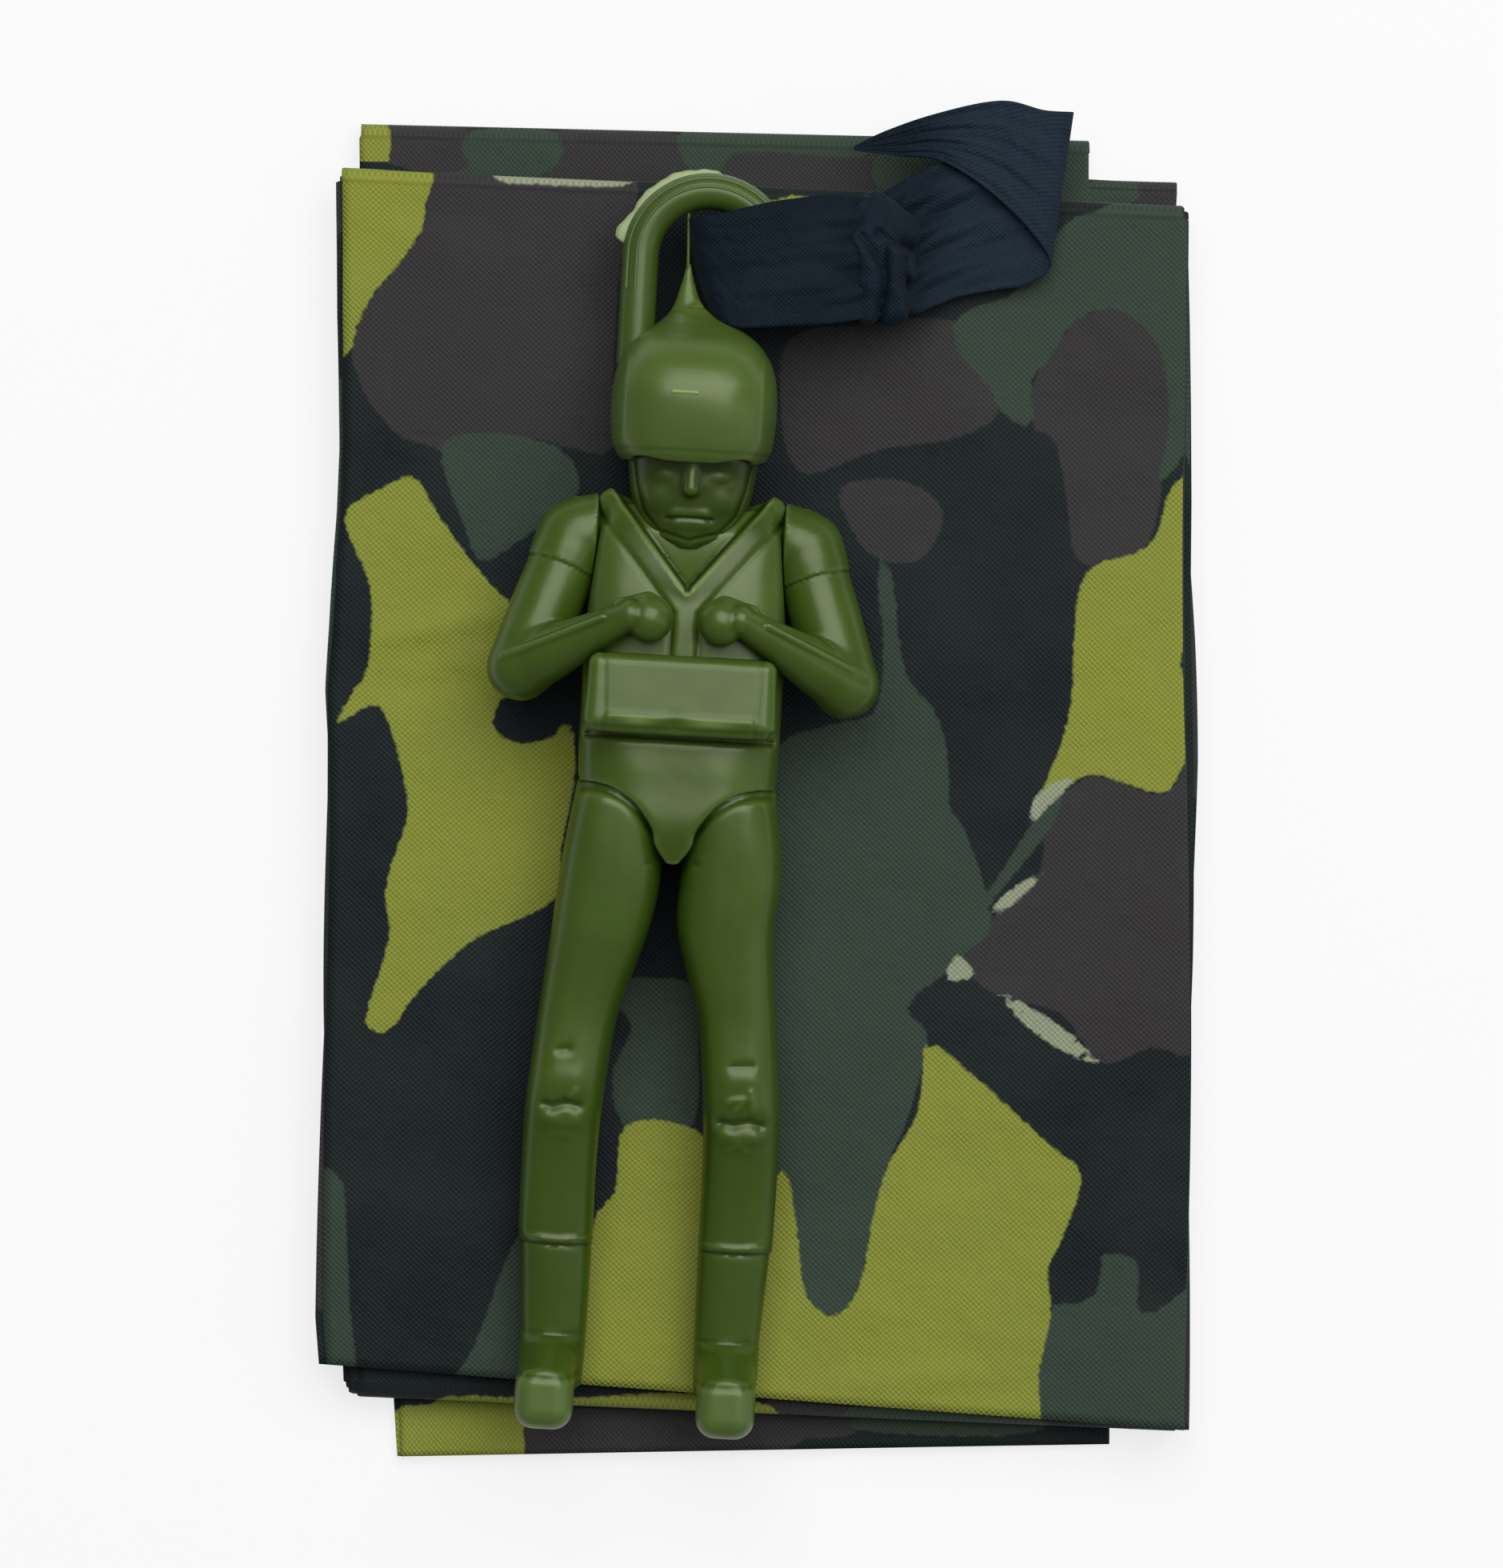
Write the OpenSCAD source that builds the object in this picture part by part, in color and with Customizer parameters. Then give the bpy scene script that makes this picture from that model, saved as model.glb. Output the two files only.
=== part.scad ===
// Toy parachutist on its folded canopy. Millimetres, +Z up, +Y towards the head.
// The origin is the middle of the folded canopy's underside. The figure lies on its back.

/* [Canopy] */
// Width of the folded panel
canopy_w = 67; // [60:0.5:75]
// Length of the folded panel
canopy_l = 97; // [90:0.5:105]
// Thickness of one folded bundle of cloth
bundle_t = 1.25; // [1:0.05:1.6]
// Gap between two bundles, where the fold is open
bundle_gap = 0.1; // [0.05:0.05:0.3]

/* [Figure place] */
// Crotch of the figure to the right of the canopy's middle
figure_x = -6.45; // [-9:0.05:-4]
// Crotch of the figure ahead of the canopy's middle
figure_y = -6.05; // [-8:0.05:-4]
// Gap between a soft piece and what lies on it
rest_gap = 0.3; // [0.25:0.05:0.5]
// Clearance between two bodies that move
move_gap = 0.3; // [0.25:0.05:0.4]
// Clearance of a piece that fits into another without moving
fit_gap = 0.05; // [0.03:0.01:0.08]

/* [Torso] */
// Wall of the hollow torso
wall = 1; // [0.8:0.1:1.2]
// Height of the shoulders above the crotch
torso_h = 28.3; // [27.5:0.1:29]
// Half width of the torso between the arms
shoulder_half = 7.3; // [7:0.1:7.6]
// Half width of the chest below the arms
chest_half = 8.3; // [8:0.1:8.6]
// Half width of the hips
hip_half = 7.8; // [7.6:0.1:8.2]
// Depth from the parting plane to the chest
front_depth = 5.3; // [5.2:0.1:5.6]
// Depth from the parting plane to the back
back_depth = 5.6; // [5.5:0.1:6]
// Radius of the curved hip edge
hip_arc_r = 5.8; // [5.6:0.1:6]
// Width of a harness strap
strap_w = 1.5; // [1.2:0.1:1.8]
// How far a harness strap stands out
strap_t = 0.35; // [0.2:0.05:0.4]

/* [Reserve pack] */
// Width of the reserve pack
pack_w = 14.6; // [14:0.1:15]
// Height of the reserve pack
pack_h = 6.1; // [5.6:0.1:6.4]
// Drop from the top of the shoulders to the bottom of the reserve pack
pack_drop = 18.1; // [17.9:0.1:18.4]
// How far the pack stands ahead of the chest
pack_t = 2.7; // [2.2:0.1:3.2]

/* [Head] */
// Half width of the helmet
helmet_half = 6.4; // [6.2:0.1:6.7]
// Height of the helmet from brim to crown
helmet_h = 10.8; // [10.4:0.1:11.4]
// Height of the helmet's brim above the shoulders
brim_rise = 3.7; // [3.4:0.1:4.2]
// Front of the helmet ahead of the parting plane
helmet_front = 8.2; // [8:0.1:8.6]
// Radius of the rounded face
face_r = 4; // [3.8:0.05:4.1]
// Height of the catch fin above the crown
fin_h = 3.6; // [3:0.1:4.2]
// Thickness of the catch fin
fin_t = 1.3; // [1:0.1:1.8]

/* [Hook] */
// Radius of the hook's bend, along the middle of its bar
hook_bend_r = 5.4; // [5.2:0.1:5.6]
// Thickness of the hook's bar at the bend
hook_bar_d = 2.9; // [2.6:0.1:3.1]
// Thickness of the hook's bar at the helmet
hook_root_d = 2.4; // [2.2:0.1:2.6]
// Height of the bend's centre above the helmet's crown
hook_rise = 5; // [4.6:0.1:5.4]

/* [Arms] */
// Drop from the top of the shoulders to the shoulder axis
shoulder_axis_drop = 2.4; // [2.2:0.1:2.6]
// Radius of the rounded shoulder
shoulder_r = 3.1; // [2.9:0.05:3.2]
// Half width of the figure across the elbows
elbow_half = 15.4; // [15.2:0.1:15.8]
// Radius of the elbow
elbow_r = 2.6; // [2.4:0.05:2.7]
// Drop from the shoulder axis to the elbow
elbow_drop = 11.8; // [11.4:0.1:12.2]
// Radius of the wrist
wrist_r = 1.15; // [1:0.05:1.25]
// Radius of a fist
fist_r = 1.9; // [1.7:0.05:1.95]
// Drop from the shoulder axis to the fists
fist_drop = 6.7; // [6.4:0.1:6.9]
// Radius of a shoulder peg
shoulder_peg_r = 1.4; // [1.2:0.05:1.5]

/* [Legs] */
// Height of the hip axis above the crotch
hip_y = 2; // [1.8:0.1:2.1]
// Radius of the ball at the top of a thigh
thigh_r = 4; // [3.9:0.05:4.05]
// Radius of the knee
knee_r = 3.25; // [3.1:0.05:3.3]
// Distance of the knee below the crotch
knee_drop = 19; // [18.5:0.1:19.5]
// Radius of the trouser cuff
cuff_r = 2.85; // [2.7:0.05:2.9]
// Distance of the trouser cuff below the crotch
cuff_drop = 30.1; // [29.8:0.1:30.5]
// Radius of the ankle
ankle_r = 2.35; // [2.2:0.05:2.45]
// Distance of the ankle below the crotch
ankle_drop = 37.4; // [37:0.1:37.8]
// Distance from the ankle to the toe tips, seen from the front
foot_reach = 7.6; // [7.4:0.1:8]
// Radius of the hip pin
hip_pin_r = 1; // [0.8:0.05:1.1]
// Running clearance round the hip pin
run_gap = 0.06; // [0.04:0.01:0.08]

/* [Tie strap] */
// Width of the strap's band round the hook
band_w = 7.4; // [7:0.1:7.8]
// Thickness of the folded band
band_t = 0.6; // [0.5:0.05:0.8]
// Reach of the loop from its left edge to the knot
loop_l = 15; // [14:0.1:16]
// Width of the knot
knot_w = 3.6; // [3:0.1:4.2]

/* [Hidden] */

$fn = 48;
ring_sides = 28;
row_steps = 2;
dome_steps = 4;
dome_angle = 84;
overrun = 40;

olive = [0.33, 0.42, 0.22];
dark_olive = [0.26, 0.36, 0.13];
camouflage = [0.27, 0.32, 0.26];
navy = [0.1, 0.13, 0.18];

// Canopy: corners of each bundle from the lowest up, as head left, head right, foot right, foot left
bundle_corner_shares = [
    [[-0.517, 0.530], [0.352, 0.551], [0.450, -0.520], [-0.378, -0.562]],
    [[-0.500, 0.500], [0.452, 0.525], [0.530, -0.505], [-0.443, -0.514]],
    [[-0.532, 0.489], [0.462, 0.497], [0.540, -0.505], [-0.443, -0.499]],
    [[-0.535, 0.489], [0.465, 0.497], [0.5455, -0.501], [-0.475, -0.485]]
];
canopy_t = 4 * bundle_t + 3 * bundle_gap;
bundle_pitch = bundle_t + bundle_gap;
fold_r = bundle_t + bundle_gap / 2;

// Figure frame: the origin is the crotch on the parting plane
mid_z = canopy_t + rest_gap + back_depth;

// Torso, as shares of its height, half widths, front depth and back depth at each row
torso_square = 3;
torso_row_shares = [
    [0, 0.62, 0.8, 0.8],
    [0.1, 0.88, 1, 0.96],
    [0.22, 0.94, 1, 1],
    [0.42, 0.965, 1, 1],
    [0.66, 1, 1, 1],
    [0.82, 0.95, 0.92, 0.96],
    [0.93, 0.87, 0.7, 0.82],
    [1, 0.66, 0.42, 0.56]
];
hip_arc_inset = 0.76;
hip_arc_x = hip_half - hip_arc_inset;
hip_arc_y = -0.1;
arm_recess_r = 7.4;
rib_half = 0.55;
rib_gap = 0.2;
rib_drop = 2;
rib_rise = 3.4;
locator_r = 0.6;
locator_l = 1.4;
locator_x = 5.2;
locator_y_shares = [0.44, 0.62];
boss_r = 1.3;

// Harness straps, from the shoulder to where they cross on the chest
harness_top_x = 5.2;
harness_drop = 7.3;
harness_cross_y = torso_h - harness_drop;

// Reserve pack
pack_y = torso_h - pack_drop;
pack_round = 1;
pack_peg_r = 0.7;
pack_peg_l = 1.6;
pack_peg_x = 4.2;
pack_wrap = 2.3;
pack_depth = front_depth + pack_t;
pack_back_z = front_depth - pack_wrap;
flap_groove = 0.35;
flap_groove_y = 1.5;

// Head: height above the chin, middle depth, half width, front and back at each row, as shares of face_r
face_rise = 1;
face_y = torso_h + face_rise;
head_row_shares = [
    [-0.9, 1.2, 0.5, 0.45, 0.45],
    [-0.5, 0.95, 0.86, 0.78, 0.8],
    [0, 0.8, 1, 1, 1],
    [0.7, 0.6, 1.08, 1.15, 1.2],
    [1.7, 0.3, 1.12, 1.2, 1.25],
    [2.4, 0.2, 0.85, 0.9, 0.95]
];
nose_r = 0.7;
nose_rise = 0.5;
nose_y = face_y + nose_rise;
neck_r = 2.4;
neck_z = -0.4;
neck_l = 5.7;
neck_top = torso_h + neck_l;
neck_plug_r = 1.5;
neck_flange_r = 2.1;
neck_flange_t = 1;

brim_y = torso_h + brim_rise;
crown_y = brim_y + helmet_h;

// Helmet: share of its height, then half width, front and back as shares of their largest values
helmet_back = 5.3;
helmet_square = 2.5;
helmet_row_shares = [
    [0, 0.82, 0.89, 0.9],
    [0.1, 0.93, 0.97, 0.97],
    [0.3, 1, 1, 1],
    [0.64, 0.985, 0.93, 0.93],
    [0.85, 0.83, 0.73, 0.74],
    [0.95, 0.6, 0.5, 0.48],
    [1, 0.3, 0.26, 0.2]
];
fin_base = 3.9;
fin_sink = 1;
fin_lean = 0.35;
fin_x = -1.2;

// Hook
hook_bend_x = 0.15;
hook_end = 2.6;
hook_peg_r = 0.7;
hook_peg_l = 3;
hook_foot_drop = 3.2;
hook_foot_y = crown_y - hook_foot_drop;
hook_bend_y = crown_y + hook_rise;
flash_t = 0.2;
flash_w = 0.4;
flash_from = 95;
flash_sweep = 75;
shank_x = hook_bend_x - hook_bend_r;
limb_x = hook_bend_x + hook_bend_r;

// Arms
shoulder_y = torso_h - shoulder_axis_drop;
elbow_y = shoulder_y - elbow_drop;
fist_y = shoulder_y - fist_drop;
shoulder_x = 9.1;
shoulder_drop = 0.7;
sleeve_l = 2.4;
sleeve_step = 0.25;
elbow_z = 1.6;
fist_x = 2.45;
wrist_x = 5;
wrist_drop = 0.7;
wrist_y = fist_y - wrist_drop;
hand_rise = 0.35;
hand_z = front_depth + strap_t + hand_rise + fist_r;
elbow = [elbow_half - elbow_r, elbow_y, elbow_z];
wrist = [wrist_x, wrist_y, hand_z];
fist = [fist_x, fist_y, hand_z];
shoulder_flange_r = 1.9;
shoulder_flange_t = 1;

// Legs
thigh_x = thigh_r + rib_half + rib_gap;
knee_x = 7.1;
cuff_x = 7.2;
ankle_x = 6.95;
toe_x = 7.3;
cuff_step = 0.25;
cuff_l = 0.9;
knee_lift = 0.6;
cuff_lift = 0.5;
ankle_lift = 0.4;
heel_r = 2.3;
heel_reach = 1.4;
heel_drop = ankle_drop + heel_reach;
toe_drop = ankle_drop + foot_reach;
toe_r = 2.4;
toe_z = 7.6;
hip_pin_l = 12;

// Tie strap
loop_left = -1.25;
loop_drop = 4.3;
loop_y = hook_bend_y - loop_drop;
loop_clear = 0.3;
loop_lean = 2.6;
tail_t = 0.8;
tail_z = 1.4;
knot_h = 6.6;
lobe_t = 0.7;

// Corners of the tail and of its folded-back lobe, in shares of the loop's length from the knot's middle
tail_shares = [[-0.08, -0.2], [0.8, -0.14], [0.94, 0.93], [0.65, 0.97], [-0.19, 0.67], [-0.05, 0.2]];
lobe_shares = [[-0.12, 0.52], [0.1, 0.3], [0.55, 0.42], [0.9, 0.9], [0.6, 0.93]];

// A row of a loft is [y, x, z, half width, front, back, squareness]
function curve(a, b, c, d, t) =
    (2 * b + (c - a) * t + (2 * a - 5 * b + 4 * c - d) * t * t + (3 * b - a - 3 * c + d) * t * t * t) / 2;

// More rows between the given ones, along a smooth curve
function smoothed(rows) = [
    for (i = [0:len(rows) - 2], k = [0:row_steps - 1])
        curve(rows[max(i - 1, 0)], rows[i], rows[i + 1], rows[min(i + 2, len(rows) - 1)], k / row_steps),
    rows[len(rows) - 1]
];

// Rows that close an end with a rounded cap of the given depth
function dome_row(row, depth, k) =
    let (angle = dome_angle * k / dome_steps)
    [row[0] + depth * sin(angle), row[1], row[2], row[3] * cos(angle), row[4] * cos(angle),
        row[5] * cos(angle), row[6]];
function domed(rows, low, high) = concat(
    [for (k = [dome_steps:-1:1]) if (low > 0) dome_row(rows[0], -low, k)],
    rows,
    [for (k = [1:dome_steps]) if (high > 0) dome_row(rows[len(rows) - 1], high, k)]
);

function power(value, exponent) = sign(value) * pow(abs(value), exponent);
function ring(row) = [for (i = [0:ring_sides - 1])
    let (
        angle = 360 * i / ring_sides,
        across = power(cos(angle), 2 / row[6]),
        ahead = power(sin(angle), 2 / row[6])
    )
    [row[1] + row[3] * across, row[0], row[2] + (ahead > 0 ? row[4] : row[5]) * ahead]];

// A closed skin through the rows, which run up along Y
module loft(rows) {
    last = (len(rows) - 1) * ring_sides;
    polyhedron(
        points = [for (row = rows) each ring(row)],
        faces = concat(
            [[for (i = [0:ring_sides - 1]) ring_sides - 1 - i]],
            [for (k = [0:len(rows) - 2], i = [0:ring_sides - 1])
                let (a = k * ring_sides + i, b = k * ring_sides + (i + 1) % ring_sides)
                each [[a, b, b + ring_sides], [a, b + ring_sides, a + ring_sides]]],
            [[for (i = [0:ring_sides - 1]) last + i]]
        )
    );
}

// A round row
function round_row(y, r) = [y, 0, 0, r, r, r, 2];

module at_figure() {
    translate([figure_x, figure_y, mid_z]) children();
}

// Turns +Y towards a point
module aim(from, to) {
    run = to - from;
    translate(from) rotate([atan2(run[2], norm([run[0], run[1]])), 0, atan2(-run[0], run[1])]) children();
}

// Solid outline of the torso, with its whole skin moved in by inset
module torso_block(inset) {
    loft(smoothed([for (share = torso_row_shares) [
        inset + share[0] * (torso_h - 2 * inset),
        0,
        0,
        share[1] * chest_half - inset,
        share[2] * front_depth - inset,
        share[3] * back_depth - inset,
        torso_square
    ]]));
}

// Flat recesses beside the arms, with their skin moved out by grow
module arm_recesses(grow) {
    for (side = [-1, 1]) translate([side * (shoulder_half - grow), shoulder_y, 0]) rotate([0, side * 90, 0])
        cylinder(r = arm_recess_r + grow, h = overrun);
}

// Everything that is cut from the hollow torso for the limbs, the neck and their pegs
module torso_cuts() {
    arm_recesses(0);
    for (side = [-1, 1]) {
        translate([side * hip_arc_x, hip_arc_y, 0]) cylinder(r = hip_arc_r, h = 2 * overrun, center = true);
        translate([side * thigh_x, hip_y, 0]) sphere(thigh_r + move_gap);
        translate([0, shoulder_y, 0]) rotate([0, side * 90, 0]) {
            cylinder(r = shoulder_peg_r + run_gap, h = overrun);
            cylinder(r = shoulder_flange_r + move_gap, h = shoulder_half - wall);
        }
    }
    translate([0, torso_h - wall, neck_z]) rotate([-90, 0, 0])
        cylinder(r = neck_plug_r + fit_gap, h = overrun);
    translate([0, shoulder_y, neck_z]) rotate([-90, 0, 0])
        cylinder(r = neck_flange_r + fit_gap, h = torso_h - wall - shoulder_y);
}

// Places of the locating pins between the two halves of the torso
module at_locators() {
    for (x = [-locator_x, locator_x], share = locator_y_shares) translate([x, share * torso_h, 0]) children();
}

// One half of the hollow torso: front is 1 for the front half and -1 for the back half
module torso_half(front) {
    depth = front > 0 ? front_depth : back_depth;
    difference() {
        union() {
            difference() {
                torso_block(0);
                difference() {
                    torso_block(wall);
                    arm_recesses(wall);
                }
            }
            intersection() {
                torso_block(wall / 2);
                at_locators() cylinder(r = boss_r, h = overrun, center = true);
            }
        }
        torso_cuts();
        translate([-overrun, -overrun, front > 0 ? -2 * overrun : 0]) cube(2 * overrun);
    }
    difference() {
        translate([-rib_half, hip_y - rib_drop, front > 0 ? 0 : -depth + wall / 2])
            cube([2 * rib_half, rib_drop + rib_rise, depth - wall / 2]);
        translate([0, hip_y, 0]) rotate([0, 90, 0])
            cylinder(r = hip_pin_r + fit_gap, h = overrun, center = true);
    }
}

// Outline of the left harness strap as seen from the front
module harness_outline() {
    polygon([[0, harness_cross_y - strap_w], [0, harness_cross_y + strap_w],
        [harness_top_x, torso_h + strap_w], [harness_top_x + 2 * strap_w, torso_h + strap_w]]);
}

module torso_front() {
    color(olive) at_figure() {
        difference() {
            torso_half(1);
            at_locators() cylinder(r = locator_r + fit_gap, h = locator_l + fit_gap);
            for (side = [-1, 1]) translate([side * pack_peg_x, pack_y + pack_h / 2, front_depth - pack_peg_l])
                cylinder(r = pack_peg_r + fit_gap, h = overrun);
        }
        difference() {
            intersection() {
                torso_block(-strap_t);
                for (side = [0, 1]) mirror([side, 0, 0]) linear_extrude(overrun) harness_outline();
            }
            torso_block(wall / 2);
            torso_cuts();
        }
    }
}

module torso_back() {
    color(olive) at_figure() {
        torso_half(-1);
        at_locators() translate([0, 0, -locator_l]) cylinder(r = locator_r, h = 2 * locator_l);
    }
}

module rounded_rectangle(size, r) {
    for (x = [r, size[0] - r], y = [r, size[1] - r]) translate([x, y]) circle(r);
    translate([r, 0]) square([size[0] - 2 * r, size[1]]);
    translate([0, r]) square([size[0], size[1] - 2 * r]);
}

module reserve_pack() {
    depth = pack_depth - pack_back_z + pack_round;
    color(olive) at_figure() {
        difference() {
            intersection() {
                translate([-pack_w / 2, pack_y, 0]) linear_extrude(pack_depth)
                    rounded_rectangle([pack_w, pack_h], pack_round);
                translate([-pack_w / 2, pack_y + pack_h, pack_depth - depth]) rotate([90, 0, 0])
                    linear_extrude(pack_h) rounded_rectangle([pack_w, depth], pack_round);
                translate([-pack_w / 2, pack_y + pack_h, pack_depth - depth]) rotate([90, 0, 90])
                    linear_extrude(pack_w) translate([-pack_h, 0])
                        rounded_rectangle([pack_h, depth], pack_round);
            }
            torso_block(-fit_gap);
            for (side = [0, 1]) mirror([side, 0, 0]) forearm(move_gap);
            translate([-overrun, pack_y + flap_groove_y, pack_depth - flap_groove])
                cube([2 * overrun, flap_groove, overrun]);
        }
        for (side = [-1, 1])
            translate([side * pack_peg_x, pack_y + pack_h / 2, front_depth - pack_peg_l + fit_gap])
                cylinder(r = pack_peg_r, h = pack_peg_l + pack_round);
    }
}

// Skull and face, with the whole skin moved out by grow
module head_block(grow) {
    loft(domed(smoothed([for (share = head_row_shares) [
        face_y + share[0] * face_r,
        0,
        share[1] * face_r,
        share[2] * face_r + grow,
        share[3] * face_r + grow,
        share[4] * face_r + grow,
        2.2
    ]]), fin_lean + grow, face_r / 3 + grow));
}

module head() {
    plug_y = shoulder_y + fit_gap;
    color(olive) at_figure() {
        difference() {
            union() {
                head_block(0);
                translate([0, nose_y, face_r * 1.8]) sphere(nose_r);
                translate([0, torso_h, neck_z]) rotate([-90, 0, 0])
                    cylinder(r = neck_r, h = neck_top - torso_h);
            }
            torso_block(-fit_gap);
        }
        translate([0, plug_y, neck_z]) rotate([-90, 0, 0]) {
            cylinder(r = neck_flange_r, h = neck_flange_t);
            cylinder(r = neck_plug_r, h = neck_top - plug_y);
        }
    }
}

module helmet_block() {
    loft(smoothed([for (share = helmet_row_shares) [
        brim_y + share[0] * helmet_h,
        0,
        0,
        share[1] * helmet_half,
        share[2] * helmet_front,
        share[3] * helmet_back,
        helmet_square
    ]]));
}

module helmet() {
    color(olive) at_figure() {
        difference() {
            helmet_block();
            head_block(fit_gap);
            translate([shank_x, hook_foot_y - hook_peg_l, 0]) rotate([-90, 0, 0])
                cylinder(r = hook_peg_r + fit_gap, h = overrun);
            translate([0, torso_h, neck_z]) rotate([-90, 0, 0])
                cylinder(r = neck_r + fit_gap, h = neck_top + fit_gap - torso_h);
        }
        translate([fin_x, crown_y - fin_sink, -fin_t / 2]) linear_extrude(fin_t)
            polygon([[-fin_base / 2, 0], [fin_base / 2, 0], [fin_lean, (fin_h + fin_sink) * 0.55],
                [-fin_lean, fin_h + fin_sink]]);
    }
}

module suspension_hook() {
    color(dark_olive) at_figure() {
        difference() {
            translate([shank_x, hook_foot_y, 0]) rotate([-90, 0, 0])
                cylinder(d1 = hook_root_d, d2 = hook_bar_d, h = hook_bend_y - hook_foot_y);
            helmet_block();
        }
        translate([shank_x, hook_foot_y - hook_peg_l + fit_gap, 0]) rotate([-90, 0, 0])
            cylinder(r = hook_peg_r, h = 2 * hook_peg_l);
        translate([hook_bend_x, hook_bend_y, 0]) {
            rotate_extrude(angle = 180) translate([hook_bend_r, 0]) circle(d = hook_bar_d);
            rotate([0, 0, flash_from]) rotate_extrude(angle = flash_sweep)
                translate([hook_bend_r + hook_bar_d / 2 - flash_w / 2, -flash_t / 2])
                    square([flash_w, flash_t]);
        }
        translate([limb_x, hook_bend_y - hook_end, 0]) {
            rotate([-90, 0, 0]) cylinder(d = hook_bar_d, h = hook_end);
            sphere(d = hook_bar_d);
        }
    }
}

// The left forearm in the figure frame, with its skin moved out by grow
module forearm(grow) {
    fore_l = norm(wrist - elbow);
    hand_l = norm(fist - wrist);
    aim(elbow, wrist) loft(domed(smoothed([
        round_row(0, elbow_r - sleeve_step + grow),
        round_row(fore_l / 2, (elbow_r + wrist_r) / 2 + grow),
        round_row(fore_l, wrist_r + grow),
        round_row(fore_l + hand_l / 2, wrist_r + grow)
    ]), elbow_r - sleeve_step + grow, wrist_r + grow));
}

// The left arm in the figure frame
module arm() {
    top = [shoulder_x, shoulder_y - shoulder_drop, 0];
    upper_l = norm(elbow - top);
    hand_l = norm(fist - wrist);
    difference() {
        aim(top, elbow) loft(domed(concat(
            [for (share = [0, 0.4, 0.8, 1]) round_row(share * sleeve_l, shoulder_r - share * sleeve_step)],
            smoothed([
                round_row(sleeve_l, shoulder_r - 2 * sleeve_step),
                round_row((sleeve_l + upper_l) / 2, (shoulder_r + elbow_r) / 2 - sleeve_step),
                round_row(upper_l, elbow_r)
            ])
        ), shoulder_r, elbow_r));
        translate([shoulder_half + move_gap - 2 * overrun, -overrun, -overrun]) cube(2 * overrun);
    }
    forearm(0);
    aim(wrist, fist) loft(domed([
        round_row(hand_l - fist_r / 4, fist_r * 0.97),
        round_row(hand_l, fist_r),
        round_row(hand_l + fist_r / 4, fist_r * 0.97)
    ], fist_r * 0.7, fist_r * 0.7));
    translate([shoulder_half - wall - shoulder_flange_t, shoulder_y, 0]) rotate([0, 90, 0]) {
        cylinder(r = shoulder_flange_r, h = shoulder_flange_t - move_gap);
        cylinder(r = shoulder_peg_r, h = shoulder_x - shoulder_half + wall + shoulder_flange_t);
    }
}

module left_arm() {
    color(olive) at_figure() arm();
}

module right_arm() {
    color(olive) at_figure() mirror([1, 0, 0]) arm();
}

// A round row of the leg, whose back lies lift above the figure's back
function leg_row(y, x, r, lift) = [y, x, r + lift - back_depth, r, r, r, 2];

// The left leg in the figure frame
module leg() {
    thigh_lift = back_depth - thigh_r;
    heel = [ankle_x, -heel_drop, heel_r - back_depth];
    toe = [toe_x, toe_r - toe_drop, toe_z - back_depth];
    foot_l = norm(toe - heel);
    boot_y = -cuff_drop;
    difference() {
        union() {
            loft(domed(concat(
                smoothed([
                    leg_row(-ankle_drop, ankle_x, ankle_r, ankle_lift),
                    leg_row((boot_y - ankle_drop) / 2, (cuff_x + ankle_x) / 2,
                        (cuff_r + ankle_r) / 2 - cuff_step, (cuff_lift + ankle_lift) / 2 + cuff_step),
                    leg_row(boot_y - cuff_step, cuff_x, cuff_r - cuff_step, cuff_lift + cuff_step)
                ]),
                smoothed([
                    leg_row(boot_y, cuff_x, cuff_r, cuff_lift),
                    leg_row(boot_y + cuff_l, cuff_x, cuff_r, cuff_lift),
                    leg_row((boot_y - knee_drop) / 2, (knee_x + cuff_x) / 2, (knee_r + cuff_r) / 2,
                        (knee_lift + cuff_lift) / 2),
                    leg_row(-knee_drop, knee_x, knee_r, knee_lift),
                    leg_row((hip_y - knee_drop) / 2, (thigh_x + knee_x) / 2,
                        (thigh_r + knee_r) / 2 - cuff_step / 2, (thigh_lift + knee_lift) / 2 + cuff_step / 2),
                    leg_row(hip_y, thigh_x, thigh_r, thigh_lift)
                ])
            ), ankle_r, thigh_r));
            aim(heel, toe) loft(domed(smoothed([
                round_row(0, heel_r),
                round_row(foot_l / 2, (heel_r + toe_r) / 2 - cuff_step),
                round_row(foot_l, toe_r)
            ]), heel_r, toe_r));
        }
        translate([-overrun, hip_y, 0]) rotate([0, 90, 0])
            cylinder(r = hip_pin_r + run_gap, h = overrun + hip_pin_l / 2 + run_gap);
    }
}

module left_leg() {
    color(olive) at_figure() leg();
}

module right_leg() {
    color(olive) at_figure() mirror([1, 0, 0]) leg();
}

module hip_pin() {
    color(dark_olive) at_figure() translate([0, hip_y, 0]) rotate([0, 90, 0])
        cylinder(r = hip_pin_r, h = hip_pin_l, center = true);
}

// A corner of a bundle, moved towards the panel's middle by inset along the length
function corner(bundle, i, inset) =
    let (share = bundle_corner_shares[bundle][i])
    [share[0] * canopy_w, share[1] * canopy_l - (i < 2 ? inset : -inset)];

// One bundle: the ends that run into a fold stop at the middle of the fold
module bundle(level, head_inset, foot_inset) {
    translate([0, 0, level * bundle_pitch]) linear_extrude(bundle_t)
        polygon([for (i = [0:3]) corner(level, i, i < 2 ? head_inset : foot_inset)]);
}

// The rounded fold that joins the bundle at this level to the one above it, at its head or foot end
module fold(level, i) {
    from = corner(level, i, fold_r);
    to = corner(level, i + 1, fold_r);
    run = to - from;
    translate([from[0], from[1], level * bundle_pitch + fold_r]) rotate([0, 90, atan2(run[1], run[0])])
        cylinder(r = fold_r, h = norm(run));
}

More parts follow.
